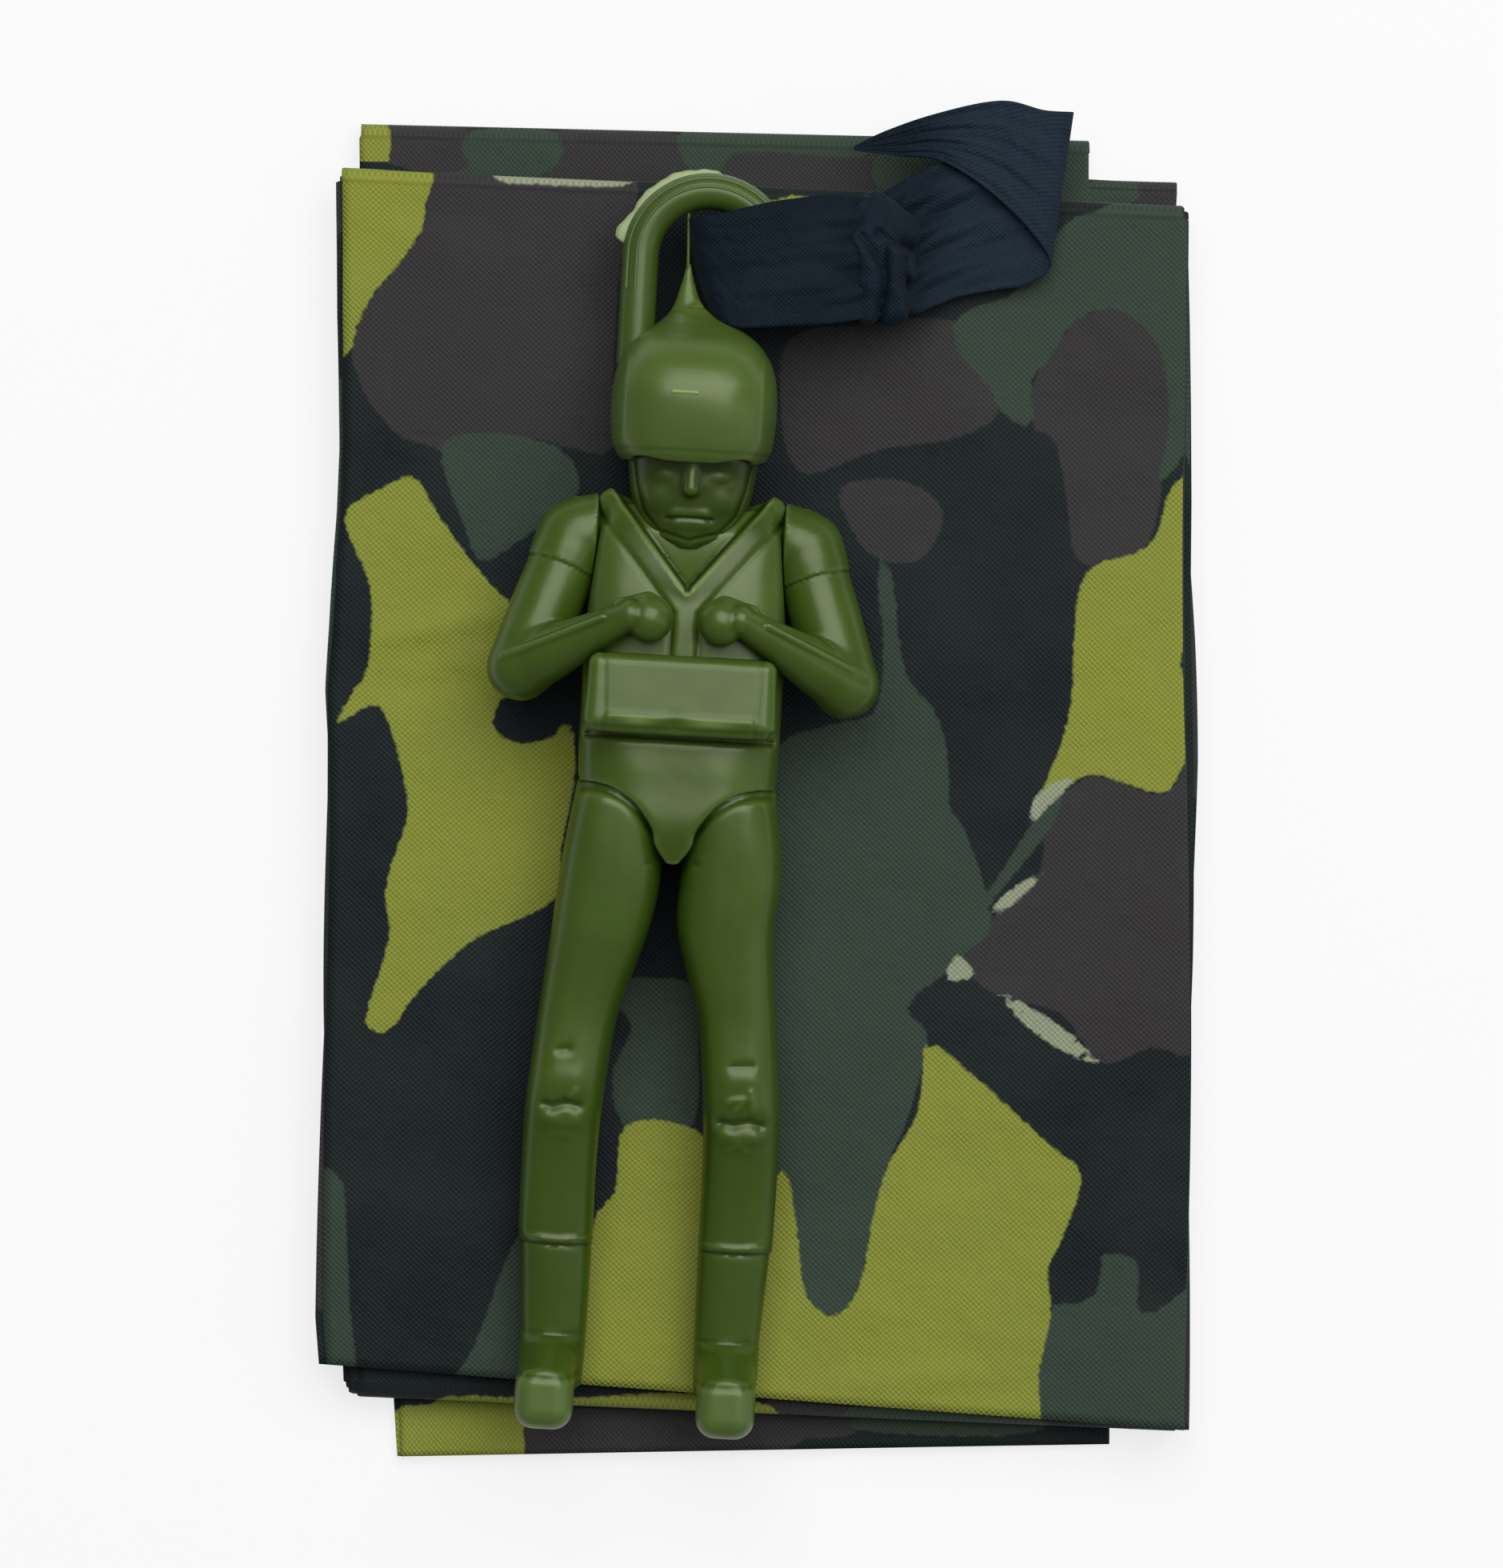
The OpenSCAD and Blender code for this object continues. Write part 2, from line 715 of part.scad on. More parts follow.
module canopy() {
    color(camouflage) {
        bundle(0, 0, 0);
        bundle(1, fold_r, fold_r);
        bundle(2, fold_r, fold_r);
        bundle(3, fold_r, 0);
        fold(1, 2);
        fold(2, 0);
        linear_extrude(bundle_pitch + bundle_t) polygon([
            corner(1, 0, fold_r), corner(1, 1, fold_r), corner(1, 1, 3 * fold_r), corner(1, 0, 3 * fold_r)]);
    }
}

// The loop as a solid block, with its skin moved out by grow: its rounded left edge leans
module loop_block(grow) {
    r = hook_bar_d / 2 + loop_clear + grow;
    low = loop_left + hook_bar_d / 2 + loop_clear + band_t;
    translate([0, 0, -r]) linear_extrude(2 * r) polygon([[low + loop_lean, loop_y], [low, loop_y + band_w],
        [loop_left + loop_l, loop_y + band_w], [loop_left + loop_l, loop_y]]);
    translate([low, loop_y + band_w, 0]) rotate([90, 0, atan2(loop_lean, band_w)])
        cylinder(r = r, h = overrun, center = true);
}

module tie_strap() {
    knot = [loop_left + loop_l, loop_y + band_w / 2, 0];
    foot_z = canopy_t + rest_gap - mid_z;
    color(navy) at_figure() {
        difference() {
            intersection() {
                loop_block(band_t);
                translate([-overrun / 2, loop_y, -overrun / 2]) cube([overrun, band_w, overrun]);
            }
            loop_block(0);
        }
        translate([knot[0] - knot_w / 2, knot[1] - knot_h / 2, foot_z])
            cube([knot_w, knot_h, hook_bar_d / 2 + loop_clear + band_t - foot_z]);
        translate([knot[0], knot[1], tail_z - tail_t]) linear_extrude(tail_t) polygon(loop_l * tail_shares);
        translate([knot[0], knot[1], tail_z - fit_gap]) linear_extrude(lobe_t) polygon(loop_l * lobe_shares);
    }
}

canopy();
torso_front();
torso_back();
reserve_pack();
head();
helmet();
suspension_hook();
left_arm();
right_arm();
left_leg();
right_leg();
hip_pin();
tie_strap();
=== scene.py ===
"""A toy parachutist of moulded plastic that lies on its folded camouflage canopy.

Sizes inside the classes are millimetres. The figure frame has its origin at the crotch on the
parting plane, with X to the soldier's left, Y towards the head and Z out of the chest. The
canopy and the strap's far end are given in the row frame. A mesh is made in metres.
"""
from __future__ import annotations

import itertools
import logging
import math
from collections.abc import Callable, Iterable, Sequence
from dataclasses import dataclass, field
from enum import Enum
from typing import Any

import bmesh
import bpy
import numpy as np
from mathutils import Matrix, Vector

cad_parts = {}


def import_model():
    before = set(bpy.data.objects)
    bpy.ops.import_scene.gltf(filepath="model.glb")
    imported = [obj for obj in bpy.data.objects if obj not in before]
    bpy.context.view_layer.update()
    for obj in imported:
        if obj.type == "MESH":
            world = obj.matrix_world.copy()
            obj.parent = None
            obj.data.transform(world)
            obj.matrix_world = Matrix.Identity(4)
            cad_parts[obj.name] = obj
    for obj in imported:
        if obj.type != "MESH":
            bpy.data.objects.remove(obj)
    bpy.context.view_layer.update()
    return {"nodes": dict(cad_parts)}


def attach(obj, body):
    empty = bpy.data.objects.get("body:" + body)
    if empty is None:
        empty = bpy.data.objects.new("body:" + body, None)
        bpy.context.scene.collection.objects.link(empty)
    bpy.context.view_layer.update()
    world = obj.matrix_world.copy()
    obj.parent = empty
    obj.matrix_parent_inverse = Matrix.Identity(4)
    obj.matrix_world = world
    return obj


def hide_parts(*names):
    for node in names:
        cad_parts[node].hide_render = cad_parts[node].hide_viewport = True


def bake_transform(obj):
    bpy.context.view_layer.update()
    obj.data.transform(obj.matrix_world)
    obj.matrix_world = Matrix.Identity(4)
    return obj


LOG = logging.getLogger("parachutist")
MM = 0.001

# Origin of the figure frame in the row frame.
FIGURE_PLACE = np.array([-6.45, -6.05, 11.2])
# Corners of a cell of the sampling grid, in steps from its lowest one.
CORNERS = np.array(list(itertools.product((0, 1), repeat=3)))
# Rows in a rounded cap, and which numbers of a row shrink in it.
CAP_STEPS = 8
LOFT_SIZES = (3, 4, 5)
SPINDLE_SIZES = (1,)
# Relief of the deepest groove. What is deeper gets no darker painted shade.
DEEPEST = 5.5

Point = tuple[float, float, float]
Point2 = tuple[float, float]
Colour = tuple[float, float, float]
Row = tuple[float, ...]
Array = np.ndarray
PaintedLight = Callable[[Array, Array, Array], Array]


class Slot(Enum):
    """Material slots of the record."""

    FIGURE = "figure_plastic"
    HOOK = "hook_plastic"
    CANOPY = "canopy_cloth"
    STRAP = "strap_cloth"


class Side(Enum):
    """The soldier's own sides, with the sign of X on each."""

    LEFT = 1
    RIGHT = -1

    @property
    def word(self) -> str:
        """The side's name in the names of pieces."""
        return self.name.lower()


def linear(red: float, green: float, blue: float) -> tuple[float, float, float, float]:
    """Turn a colour of 0 to 255 a channel into the renderer's linear colour.

    Args:
        red: Red channel.
        green: Green channel.
        blue: Blue channel.

    Returns:
        The linear colour with full alpha.
    """
    channels = []
    for value in (red, green, blue):
        share = value / 255
        channels.append(share / 12.92 if share <= 0.04045 else ((share + 0.055) / 1.055) ** 2.4)
    return channels[0], channels[1], channels[2], 1.0


def smooth_step(low: float, high: float, value: Array) -> Array:
    """Rise from 0 at low to 1 at high.

    Args:
        low: Where the rise starts.
        high: Where it ends.
        value: Values to map.

    Returns:
        The smooth share at each value.
    """
    share = np.clip((value - low) / (high - low), 0, 1)
    return share * share * (3 - 2 * share)


def bell(gap: Array, width: float) -> Array:
    """Fall smoothly from 1 at a gap of zero, to about a third at a gap of one width."""
    return np.exp(-(gap / width) ** 2)


# Shader and node trees


class Value:
    """A number that flows through a shader, on which Python's operators add Math nodes."""

    def __init__(self, board: Board, socket: bpy.types.NodeSocket) -> None:
        """Wrap a socket of a board."""
        self.board = board
        self.socket = socket

    def apply(self, operation: str, *others: Value | float, first: float | None = None) -> Value:
        """Add one Math node.

        Args:
            operation: The node's operation.
            *others: Further operands.
            first: A number that goes before this value.

        Returns:
            The node's result.
        """
        operands: list[Any] = [self, *others] if first is None else [first, self, *others]
        inputs = {index: operand for index, operand in enumerate(operands)}
        return self.board.value("ShaderNodeMath", {"operation": operation}, inputs)

    def __add__(self, other: Value | float) -> Value:
        """Add."""
        return self.apply("ADD", other)

    __radd__ = __add__

    def __sub__(self, other: Value | float) -> Value:
        """Subtract."""
        return self.apply("SUBTRACT", other)

    def __rsub__(self, other: float) -> Value:
        """Subtract from a number."""
        return self.apply("SUBTRACT", first=other)

    def __mul__(self, other: Value | float) -> Value:
        """Multiply."""
        return self.apply("MULTIPLY", other)

    __rmul__ = __mul__

    def clamp(self) -> Value:
        """Keep the value from 0 to 1."""
        return self.board.value("ShaderNodeClamp", {}, {"Value": self})

    def rise(self, low: float, high: float) -> Value:
        """Map low to high smoothly onto 0 to 1."""
        return self.board.value(
            "ShaderNodeMapRange",
            {"interpolation_type": "SMOOTHSTEP"},
            {"Value": self, "From Min": low, "From Max": high},
        )

    def wave(self) -> Value:
        """Sine of the value."""
        return self.apply("SINE")


def add_node(tree: bpy.types.NodeTree, kind: str, settings: dict[str, Any] | None = None,
             inputs: dict[Any, Any] | None = None) -> bpy.types.Node:
    """Add a node, with its settings first and then its sockets.

    Args:
        tree: The tree that it goes into.
        kind: The node's type.
        settings: Values of the node's own properties.
        inputs: Numbers, colours or links, by socket name or index.

    Returns:
        The node.
    """
    made = tree.nodes.new(kind)
    for name, setting in (settings or {}).items():
        setattr(made, name, setting)
    for name, given in (inputs or {}).items():
        if isinstance(given, Value):
            given = given.socket
        if isinstance(given, bpy.types.NodeSocket):
            tree.links.new(given, made.inputs[name])
        else:
            made.inputs[name].default_value = given
    return made


@dataclass
class Board:
    """A material's node tree."""

    material: bpy.types.Material

    @classmethod
    def named(cls, name: str) -> Board:
        """Start an empty material.

        Args:
            name: Name of the material.

        Returns:
            The board of the new material.
        """
        material = bpy.data.materials.new(name)
        material.use_nodes = True
        material.node_tree.nodes.clear()
        return cls(material)

    def node(self, kind: str, settings: dict[str, Any] | None = None,
             inputs: dict[Any, Any] | None = None) -> bpy.types.Node:
        """Add a node to the material."""
        return add_node(self.material.node_tree, kind, settings, inputs)

    def value(self, kind: str, settings: dict[str, Any], inputs: dict[Any, Any],
              output: int | str = 0) -> Value:
        """Add a node and wrap one of its outputs."""
        return Value(self, self.node(kind, settings, inputs).outputs[output])

    def place(self) -> bpy.types.NodeSocket:
        """Object coordinates, in metres."""
        return self.node("ShaderNodeTexCoord").outputs["Object"]

    def attribute(self, name: str) -> Value:
        """A number stored on the mesh."""
        return self.value("ShaderNodeAttribute", {"attribute_name": name}, {}, "Fac")

    def noise(self, at: bpy.types.NodeSocket, scale: float, detail: float = 2, rough: float = 0.5) -> Value:
        """Noise of a given scale.

        Args:
            at: Coordinates.
            scale: Bumps for each metre.
            detail: Octaves.
            rough: Strength of the finer octaves.

        Returns:
            A value around one half.
        """
        return self.value("ShaderNodeTexNoise", {},
                          {"Vector": at, "Scale": scale, "Detail": detail, "Roughness": rough})

    def mix(self, share: Value, low: Any, high: Any) -> bpy.types.NodeSocket:
        """Blend two colours.

        Args:
            share: How much of the second colour shows.
            low: First colour, as a colour or a link.
            high: Second colour.

        Returns:
            The blended colour.
        """
        made = self.node("ShaderNodeMix", {"data_type": "RGBA"}, {0: share, 6: low, 7: high})
        return made.outputs[2]

    def bump(self, height: Value, depth: float, strength: float = 1.0,
             below: bpy.types.NodeSocket | None = None) -> bpy.types.NodeSocket:
        """Turn a height into a normal.

        Args:
            height: Height from 0 to 1.
            depth: Depth of a full height, in metres.
            strength: Share of the effect.
            below: Normal of a coarser bump.

        Returns:
            The bumped normal.
        """
        inputs: dict[Any, Any] = {"Height": height, "Distance": depth, "Strength": strength}
        if below is not None:
            inputs["Normal"] = below
        return self.node("ShaderNodeBump", {}, inputs).outputs["Normal"]

    def surface(self, inputs: dict[str, Any]) -> bpy.types.Material:
        """Finish the material with one glossy surface.

        Args:
            inputs: Sockets of the surface shader.

        Returns:
            The material.
        """
        shader = self.node("ShaderNodeBsdfPrincipled", {}, inputs)
        self.node("ShaderNodeOutputMaterial", {}, {"Surface": shader.outputs[0]})
        return self.material


@dataclass(frozen=True)
class Plastic:
    """Glossy moulded plastic, with painted shade in its grooves and painted highlights on its ridges."""

    name: str
    body: Colour
    # The groove colour is painted shade for hollows, and the ridge colour is a painted highlight for edges.
    groove: Colour
    ridge: Colour
    roughness: float = 0.36
    groove_shade_gain: float = 0.12
    ridge_highlight_gain: float = 0.045

    def make(self) -> bpy.types.Material:
        """Build the material.

        Returns:
            The material, which reads the attribute relief.
        """
        board = Board.named(self.name)
        place = board.place()
        relief = board.attribute("relief")
        cloud = board.noise(place, 120, 3)
        fine = board.noise(place, 2600, 2)
        tone = board.mix(cloud.rise(0.35, 0.7), linear(*self.body),
                         linear(*(channel * 0.92 for channel in self.body)))
        # Painted highlight on ridges and painted shade in grooves, both read from the relief, which also
        # carries each piece's painted light.
        tone = board.mix((relief * self.ridge_highlight_gain).clamp(), tone, linear(*self.ridge))
        tone = board.mix((relief * -self.groove_shade_gain).clamp(), tone, linear(*self.groove))
        rough = board.noise(place, 420, 4, 0.6) * 0.14 + (self.roughness - 0.07)
        flow = board.noise(place, 230, 2)
        normal = board.bump(flow, 0.00016, 0.5)
        normal = board.bump(fine, 0.00001, 0.5, normal)
        return board.surface({
            "Base Color": tone, "Roughness": rough, "Normal": normal,
            "Coat Weight": 0.12, "Coat Roughness": 0.2, "IOR": 1.49, "Specular IOR Level": 0.42,
            "Specular Tint": (0.93, 1.0, 0.7, 1),
        })


@dataclass(frozen=True)
class Weave:
    """Plain weave of a cloth, drawn from its own flat coordinates."""

    pitch: float
    depth: float

    def normal(self, board: Board, flat: bpy.types.NodeSocket) -> tuple[Value, bpy.types.NodeSocket]:
        """Add the weave to a board.

        Args:
            board: The cloth's board.
            flat: Flat coordinates in metres.

        Returns:
            The weave's height and its normal.
        """
        parts = board.node("ShaderNodeSeparateXYZ", {}, {0: flat})
        turn = 2 * math.pi / self.pitch
        along = (Value(board, parts.outputs[0]) * turn).wave()
        across = (Value(board, parts.outputs[1]) * turn).wave()
        height = (along * across) * 0.5 + 0.5
        return height, board.bump(height, self.depth, 0.9)


@dataclass(frozen=True)
class CamouflageCloth:
    """Printed woodland cloth. Each printed colour has an attribute with its edge at zero, in mm."""

    name: str = "camouflage_cloth"
    ground: Colour = (8, 21, 25)
    prints: tuple[tuple[str, Colour], ...] = (
        ("brown", (50, 47, 48)),
        ("grey", (50, 66, 54)),
        ("lime", (138, 146, 52)),
        ("pale", (150, 158, 130)),
    )
    weave: Weave = Weave(0.00046, 0.00007)
    soft_edge: float = 0.14

    def make(self) -> bpy.types.Material:
        """Build the material.

        Returns:
            The material, which reads the cloth's map and its print attributes.
        """
        board = Board.named(self.name)
        flat = board.node("ShaderNodeUVMap", {"uv_map": "flat"}).outputs[0]
        height, normal = self.weave.normal(board, flat)
        ragged = (board.noise(flat, 1700, 2) - 0.5) * 0.5
        tone: Any = linear(*self.ground)
        for word, colour in self.prints:
            mask = (board.attribute(word) + ragged).rise(-self.soft_edge, self.soft_edge)
            tone = board.mix(mask, tone, linear(*colour))
        worn = board.noise(flat, 90, 3)
        tone = board.mix((worn - 0.35).clamp() * 0.2, tone, linear(100, 108, 100))
        # Painted shade in the hollows of the weave.
        tone = board.mix((1 - height) * 0.35, tone, linear(12, 14, 14))
        crease = board.noise(flat, 210, 3, 0.55)
        normal = board.bump(crease, 0.0006, 0.55, normal)
        return board.surface({
            "Base Color": tone, "Roughness": worn * 0.12 + 0.62, "Normal": normal,
            "Sheen Weight": 0.06, "Sheen Roughness": 0.4, "Specular IOR Level": 0.2,
        })


@dataclass(frozen=True)
class NavyCloth:
    """Dark woven strip of the tie strap."""

    name: str = "navy_cloth"
    body: Colour = (5, 20, 31)
    # The paler colour is painted light, for the parts of the strip that show lit.
    painted_strap_light: Colour = (28, 43, 56)
    weave: Weave = Weave(0.00036, 0.00006)

    def make(self) -> bpy.types.Material:
        """Build the material.

        Returns:
            The material, which reads the strip's map and its attribute faded.
        """
        board = Board.named(self.name)
        flat = board.node("ShaderNodeUVMap", {"uv_map": "flat"}).outputs[0]
        height, normal = self.weave.normal(board, flat)
        worn = board.noise(flat, 160, 3)
        # Painted light: paler where the attribute says the strip shows lit.
        tone = board.mix(board.attribute("painted_strap_light").clamp(), linear(*self.body), linear(*self.painted_strap_light))
        tone = board.mix(worn.rise(0.35, 0.75) * 0.2, tone, linear(48, 58, 70))
        # Painted shade in the hollows of the weave.
        tone = board.mix((1 - height) * 0.35, tone, linear(6, 10, 16))
        crease = board.noise(flat, 420, 3, 0.6)
        normal = board.bump(crease, 0.0007, 0.6, normal)
        return board.surface({
            "Base Color": tone, "Roughness": worn * 0.15 + 0.62, "Normal": normal,
            "Sheen Weight": 0.03, "Sheen Roughness": 0.4, "Specular IOR Level": 0.12,
        })


# Carving of the moulded pieces


def curve(rows: Sequence[Row], steps: int = 8) -> list[Row]:
    """Put more rows between the given ones, along a smooth curve.

    Args:
        rows: Rows of numbers.
        steps: Rows for each given one.

    Returns:
        The denser rows.
    """
    table = np.array(rows, dtype=float)
    last = len(table) - 1
    dense = []
    for index in range(last):
        a, b = table[max(index - 1, 0)], table[index]
        c, d = table[index + 1], table[min(index + 2, last)]
        for step in range(steps):
            t = step / steps
            dense.append((2 * b + (c - a) * t + (2 * a - 5 * b + 4 * c - d) * t * t
                          + (3 * b - a - 3 * c + d) * t ** 3) / 2)
    dense.append(table[last])
    return [tuple(row) for row in dense]


def domed(rows: Sequence[Row], low: float, high: float, sizes: Sequence[int]) -> list[Row]:
    """Close both ends of a table of rows with rounded caps of CAP_STEPS rows each.

    Args:
        rows: Rows that start with their height.
        low: Depth of the lower cap.
        high: Depth of the upper cap.
        sizes: Which numbers of a row shrink in the cap.

    Returns:
        The rows with their caps.
    """
    def cap(row: Row, depth: float) -> list[Row]:
        """One cap's rows, from the row outwards."""
        made = []
        for step in range(1, CAP_STEPS + 1):
            angle = math.radians(87 * step / CAP_STEPS)
            made.append(tuple(
                value + depth * math.sin(angle) if place == 0
                else value * math.cos(angle) if place in sizes else value
                for place, value in enumerate(row)))
        return made

    return [*reversed(cap(rows[0], -low)), *rows, *cap(rows[-1], high)]


def union(a: Array, b: Array, soft: float) -> Array:
    """Join two bodies with a fillet.

    Args:
        a: First body's distance.
        b: Second body's distance.
        soft: Size of the fillet.

    Returns:
        The joined distance.
    """
    share = np.clip(0.5 + 0.5 * (b - a) / soft, 0, 1)
    return b + (a - b) * share - soft * share * (1 - share)


def cut(a: Array, b: Array, soft: float) -> Array:
    """Cut the second body from the first, with an edge rounded by soft."""
    return -union(-a, b, soft)


@dataclass
class Space:
    """A block of sample points in the figure frame, in which one piece is carved.

    A body is an array of distances to its skin, negative inside. The reach, in steps, is how far
    round a point of the skin its relief is measured.
    """

    low: Point
    high: Point
    step: float
    reach: float = 1.6
    x: Array = field(init=False)
    y: Array = field(init=False)
    z: Array = field(init=False)

    def __post_init__(self) -> None:
        """Lay out the points with a margin round them."""
        axes = [np.arange(lo - 3 * self.step, hi + 3 * self.step, self.step, dtype=np.float32)
                for lo, hi in zip(self.low, self.high)]
        self.x = axes[0][:, None, None]
        self.y = axes[1][None, :, None]
        self.z = axes[2][None, None, :]

    @classmethod
    def beside(cls, side: Side, low: Point, high: Point, step: float) -> Space:
        """A block on one of the soldier's sides, given as it lies on the left."""
        if side is Side.RIGHT:
            low, high = (-high[0], *low[1:]), (-low[0], *high[1:])
        return cls(low, high, step)

    def folded(self) -> Space:
        """The same points with both sides measured outwards from the middle."""
        made = Space(self.low, self.high, self.step)
        made.x = np.abs(self.x)
        return made

    def settle(self, body: Array) -> Array:
        """Scale a body's values so that they are distances near its skin."""
        slopes = np.gradient(body, self.step)
        steep = np.sqrt(sum(slope * slope for slope in slopes))
        return body / np.maximum(steep, 0.3)

    def loft(self, rows: Sequence[Row]) -> Array:
        """A body through rows of height, middle X and Z, half width, front, back and squareness."""
        table = np.array(rows, dtype=float)
        x0, z0, half, front, back, square = (
            np.interp(self.y, table[:, 0], table[:, column]) for column in range(1, 7))
        ahead = self.z - z0
        depth = np.where(ahead > 0, front, back)
        aside = np.abs(self.x - x0)
        gauge = ((aside / half) ** square + (np.abs(ahead) / depth) ** square) ** (1 / square)
        body = (gauge - 1) * np.minimum(half, np.minimum(front, back))
        ends = np.maximum(table[0, 0] - self.y, self.y - table[-1, 0])
        return self.settle(np.maximum(body, ends))

    def axle(self, y: float) -> Array:
        """Distance from a line along X at a height in the parting plane."""
        return np.sqrt((self.y - y) ** 2 + self.z ** 2)

    def offset(self, at: Point) -> tuple[Array, Array, Array]:
        """Coordinates from a point."""
        return self.x - at[0], self.y - at[1], self.z - at[2]

    def spindle(self, start: Point, end: Point, stations: Sequence[Row]) -> Array:
        """A round body along a line.

        Args:
            start: Where distances along the line start.
            end: A point that the line runs to.
            stations: Distance along the line and radius.

        Returns:
            The body.
        """
        way = np.array(end, dtype=float) - np.array(start, dtype=float)
        way /= np.linalg.norm(way)
        dx, dy, dz = self.offset(start)
        along = dx * way[0] + dy * way[1] + dz * way[2]
        radial = np.sqrt(np.maximum(dx * dx + dy * dy + dz * dz - along * along, 0))
        table = np.array(stations, dtype=float)
        radius = np.interp(along, table[:, 0], table[:, 1])
        ends = np.maximum(table[0, 0] - along, along - table[-1, 0])
        return self.settle(np.maximum(radial - radius, ends))

    def ball(self, at: Point, radii: float | Point) -> Array:
        """A ball, or an ellipsoid of three radii."""
        dx, dy, dz = self.offset(at)
        if isinstance(radii, (int, float)):
            return np.sqrt(dx * dx + dy * dy + dz * dz) - radii
        a, b, c = radii
        near = np.sqrt((dx / a) ** 2 + (dy / b) ** 2 + (dz / c) ** 2)
        far = np.sqrt((dx / a ** 2) ** 2 + (dy / b ** 2) ** 2 + (dz / c ** 2) ** 2)
        return near * (near - 1) / np.maximum(far, 1e-6)

    def rod(self, start: Point, end: Point, radius: float, end_radius: float | None = None) -> Array:
        """A rod with round ends, which may taper."""
        a, b = np.array(start, dtype=float), np.array(end, dtype=float)
        way = b - a
        dx, dy, dz = self.offset(start)
        share = np.clip((dx * way[0] + dy * way[1] + dz * way[2]) / (way @ way), 0, 1)
        gap = np.sqrt((dx - share * way[0]) ** 2 + (dy - share * way[1]) ** 2
                      + (dz - share * way[2]) ** 2)
        last = radius if end_radius is None else end_radius
        return gap - (radius + (last - radius) * share)

    def block(self, low: Point, high: Point, rounding: float) -> Array:
        """A box with rounded edges."""
        gaps = []
        for axis, lo, hi in zip((self.x, self.y, self.z), low, high):
            gaps.append(np.abs(axis - (lo + hi) / 2) - ((hi - lo) / 2 - rounding))
        outside = np.sqrt(sum(np.maximum(gap, 0) ** 2 for gap in gaps))
        return outside + np.minimum(np.maximum(np.maximum(gaps[0], gaps[1]), gaps[2]), 0) - rounding

    def stroke(self, points: Sequence[Point2]) -> Array:
        """Distance to a line drawn on the front, seen along Z."""
        best = None
        for (ax, ay), (bx, by) in zip(points, points[1:]):
            way = np.array([bx - ax, by - ay])
            dx, dy = self.x - ax, self.y - ay
            share = np.clip((dx * way[0] + dy * way[1]) / (way @ way), 0, 1)
            gap = np.sqrt((dx - share * way[0]) ** 2 + (dy - share * way[1]) ** 2)
            best = gap if best is None else np.minimum(best, gap)
        return best

    def skin(self, body: Array) -> tuple[Array, Array, Array]:
        """Find a body's skin.

        Args:
            body: Distances, negative inside.

        Returns:
            Points in mm in the figure frame, faces of four points, and the relief at each
            point: above zero on ridges and below it in grooves, in 1/mm.
        """
        inside = body < 0
        size = np.array(body.shape) - 1
        count = np.zeros(size, dtype=np.int8)
        for i, j, k in CORNERS:
            count += inside[i:size[0] + i, j:size[1] + j, k:size[2] + k]
        active = (count > 0) & (count < 8)
        cells = np.argwhere(active)
        index = np.full(size, -1, dtype=np.int64)
        index[active] = np.arange(len(cells))
        total = np.zeros((len(cells), 3))
        hits = np.zeros(len(cells))
        quads = []
        for axis in range(3):
            one = np.eye(3, dtype=int)[axis]
            second, third = (np.eye(3, dtype=int)[(axis + turn) % 3] for turn in (1, 2))
            for step_b, step_c in itertools.product((0, 1), repeat=2):
                start = cells + step_b * second + step_c * third
                near = body[tuple(start.T)]
                far = body[tuple((start + one).T)]
                crossed = (near < 0) != (far < 0)
                share = near[crossed] / (near[crossed] - far[crossed])
                total[crossed] += start[crossed] + share[:, None] * one
                hits[crossed] += 1
            lower = [slice(0, -1) if place == axis else slice(1, -1) for place in range(3)]
            upper = [slice(1, None) if place == axis else slice(1, -1) for place in range(3)]
            here, ahead = inside[tuple(lower)], inside[tuple(upper)]
            edges = np.argwhere(here != ahead) + (1 - one)
            ring = [index[tuple((edges - second - third).T)], index[tuple((edges - third).T)],
                    index[tuple(edges.T)], index[tuple((edges - second).T)]]
            faces = np.stack(ring, axis=1)
            turned = ~inside[tuple(edges.T)]
            faces[turned] = faces[turned][:, ::-1]
            quads.append(faces)
        points = self.settled(body, total / hits[:, None])
        start = np.array([axis.ravel()[0] for axis in (self.x, self.y, self.z)])
        return start + points * self.step, np.concatenate(quads), self.relief(body, points)

    def settled(self, body: Array, points: Array) -> Array:
        """Points near a body's skin, moved onto it. They are given in steps of the grid."""
        for _ in range(2):
            here = self.sample(body, points)
            slope = self.slope(body, points)
            shift = -here[:, None] * slope / np.maximum((slope ** 2).sum(1), 1e-4)[:, None]
            points = points + np.clip(shift, -0.5, 0.5)
        return points

    def relief(self, body: Array, points: Array) -> Array:
        """How far the skin stands out round each point, from the distances beside it."""
        around = -6 * self.sample(body, points)
        for axis, way in itertools.product(range(3), (-self.reach, self.reach)):
            around += self.sample(body, points + way * np.eye(3)[axis])
        return around / (self.reach * self.step) ** 2

    @staticmethod
    def sample(body: Array, points: Array) -> Array:
        """Values of a body between its sample points, in steps of the grid."""
        limit = np.array(body.shape) - 1.001
        at = np.clip(points, 0, limit)
        base = at.astype(int)
        share = at - base
        found = np.zeros(len(at))
        for corner in CORNERS:
            weight = np.prod(np.where(corner, share, 1 - share), axis=1)
            found += weight * body[tuple((base + corner).T)]
        return found

    def slope(self, body: Array, points: Array) -> Array:
        """Slope of a body between its sample points, for each step of the grid."""
        found = np.zeros_like(points)
        for axis in range(3):
            shift = 0.5 * np.eye(3)[axis]
            found[:, axis] = self.sample(body, points + shift) - self.sample(body, points - shift)
        return found


# Meshes


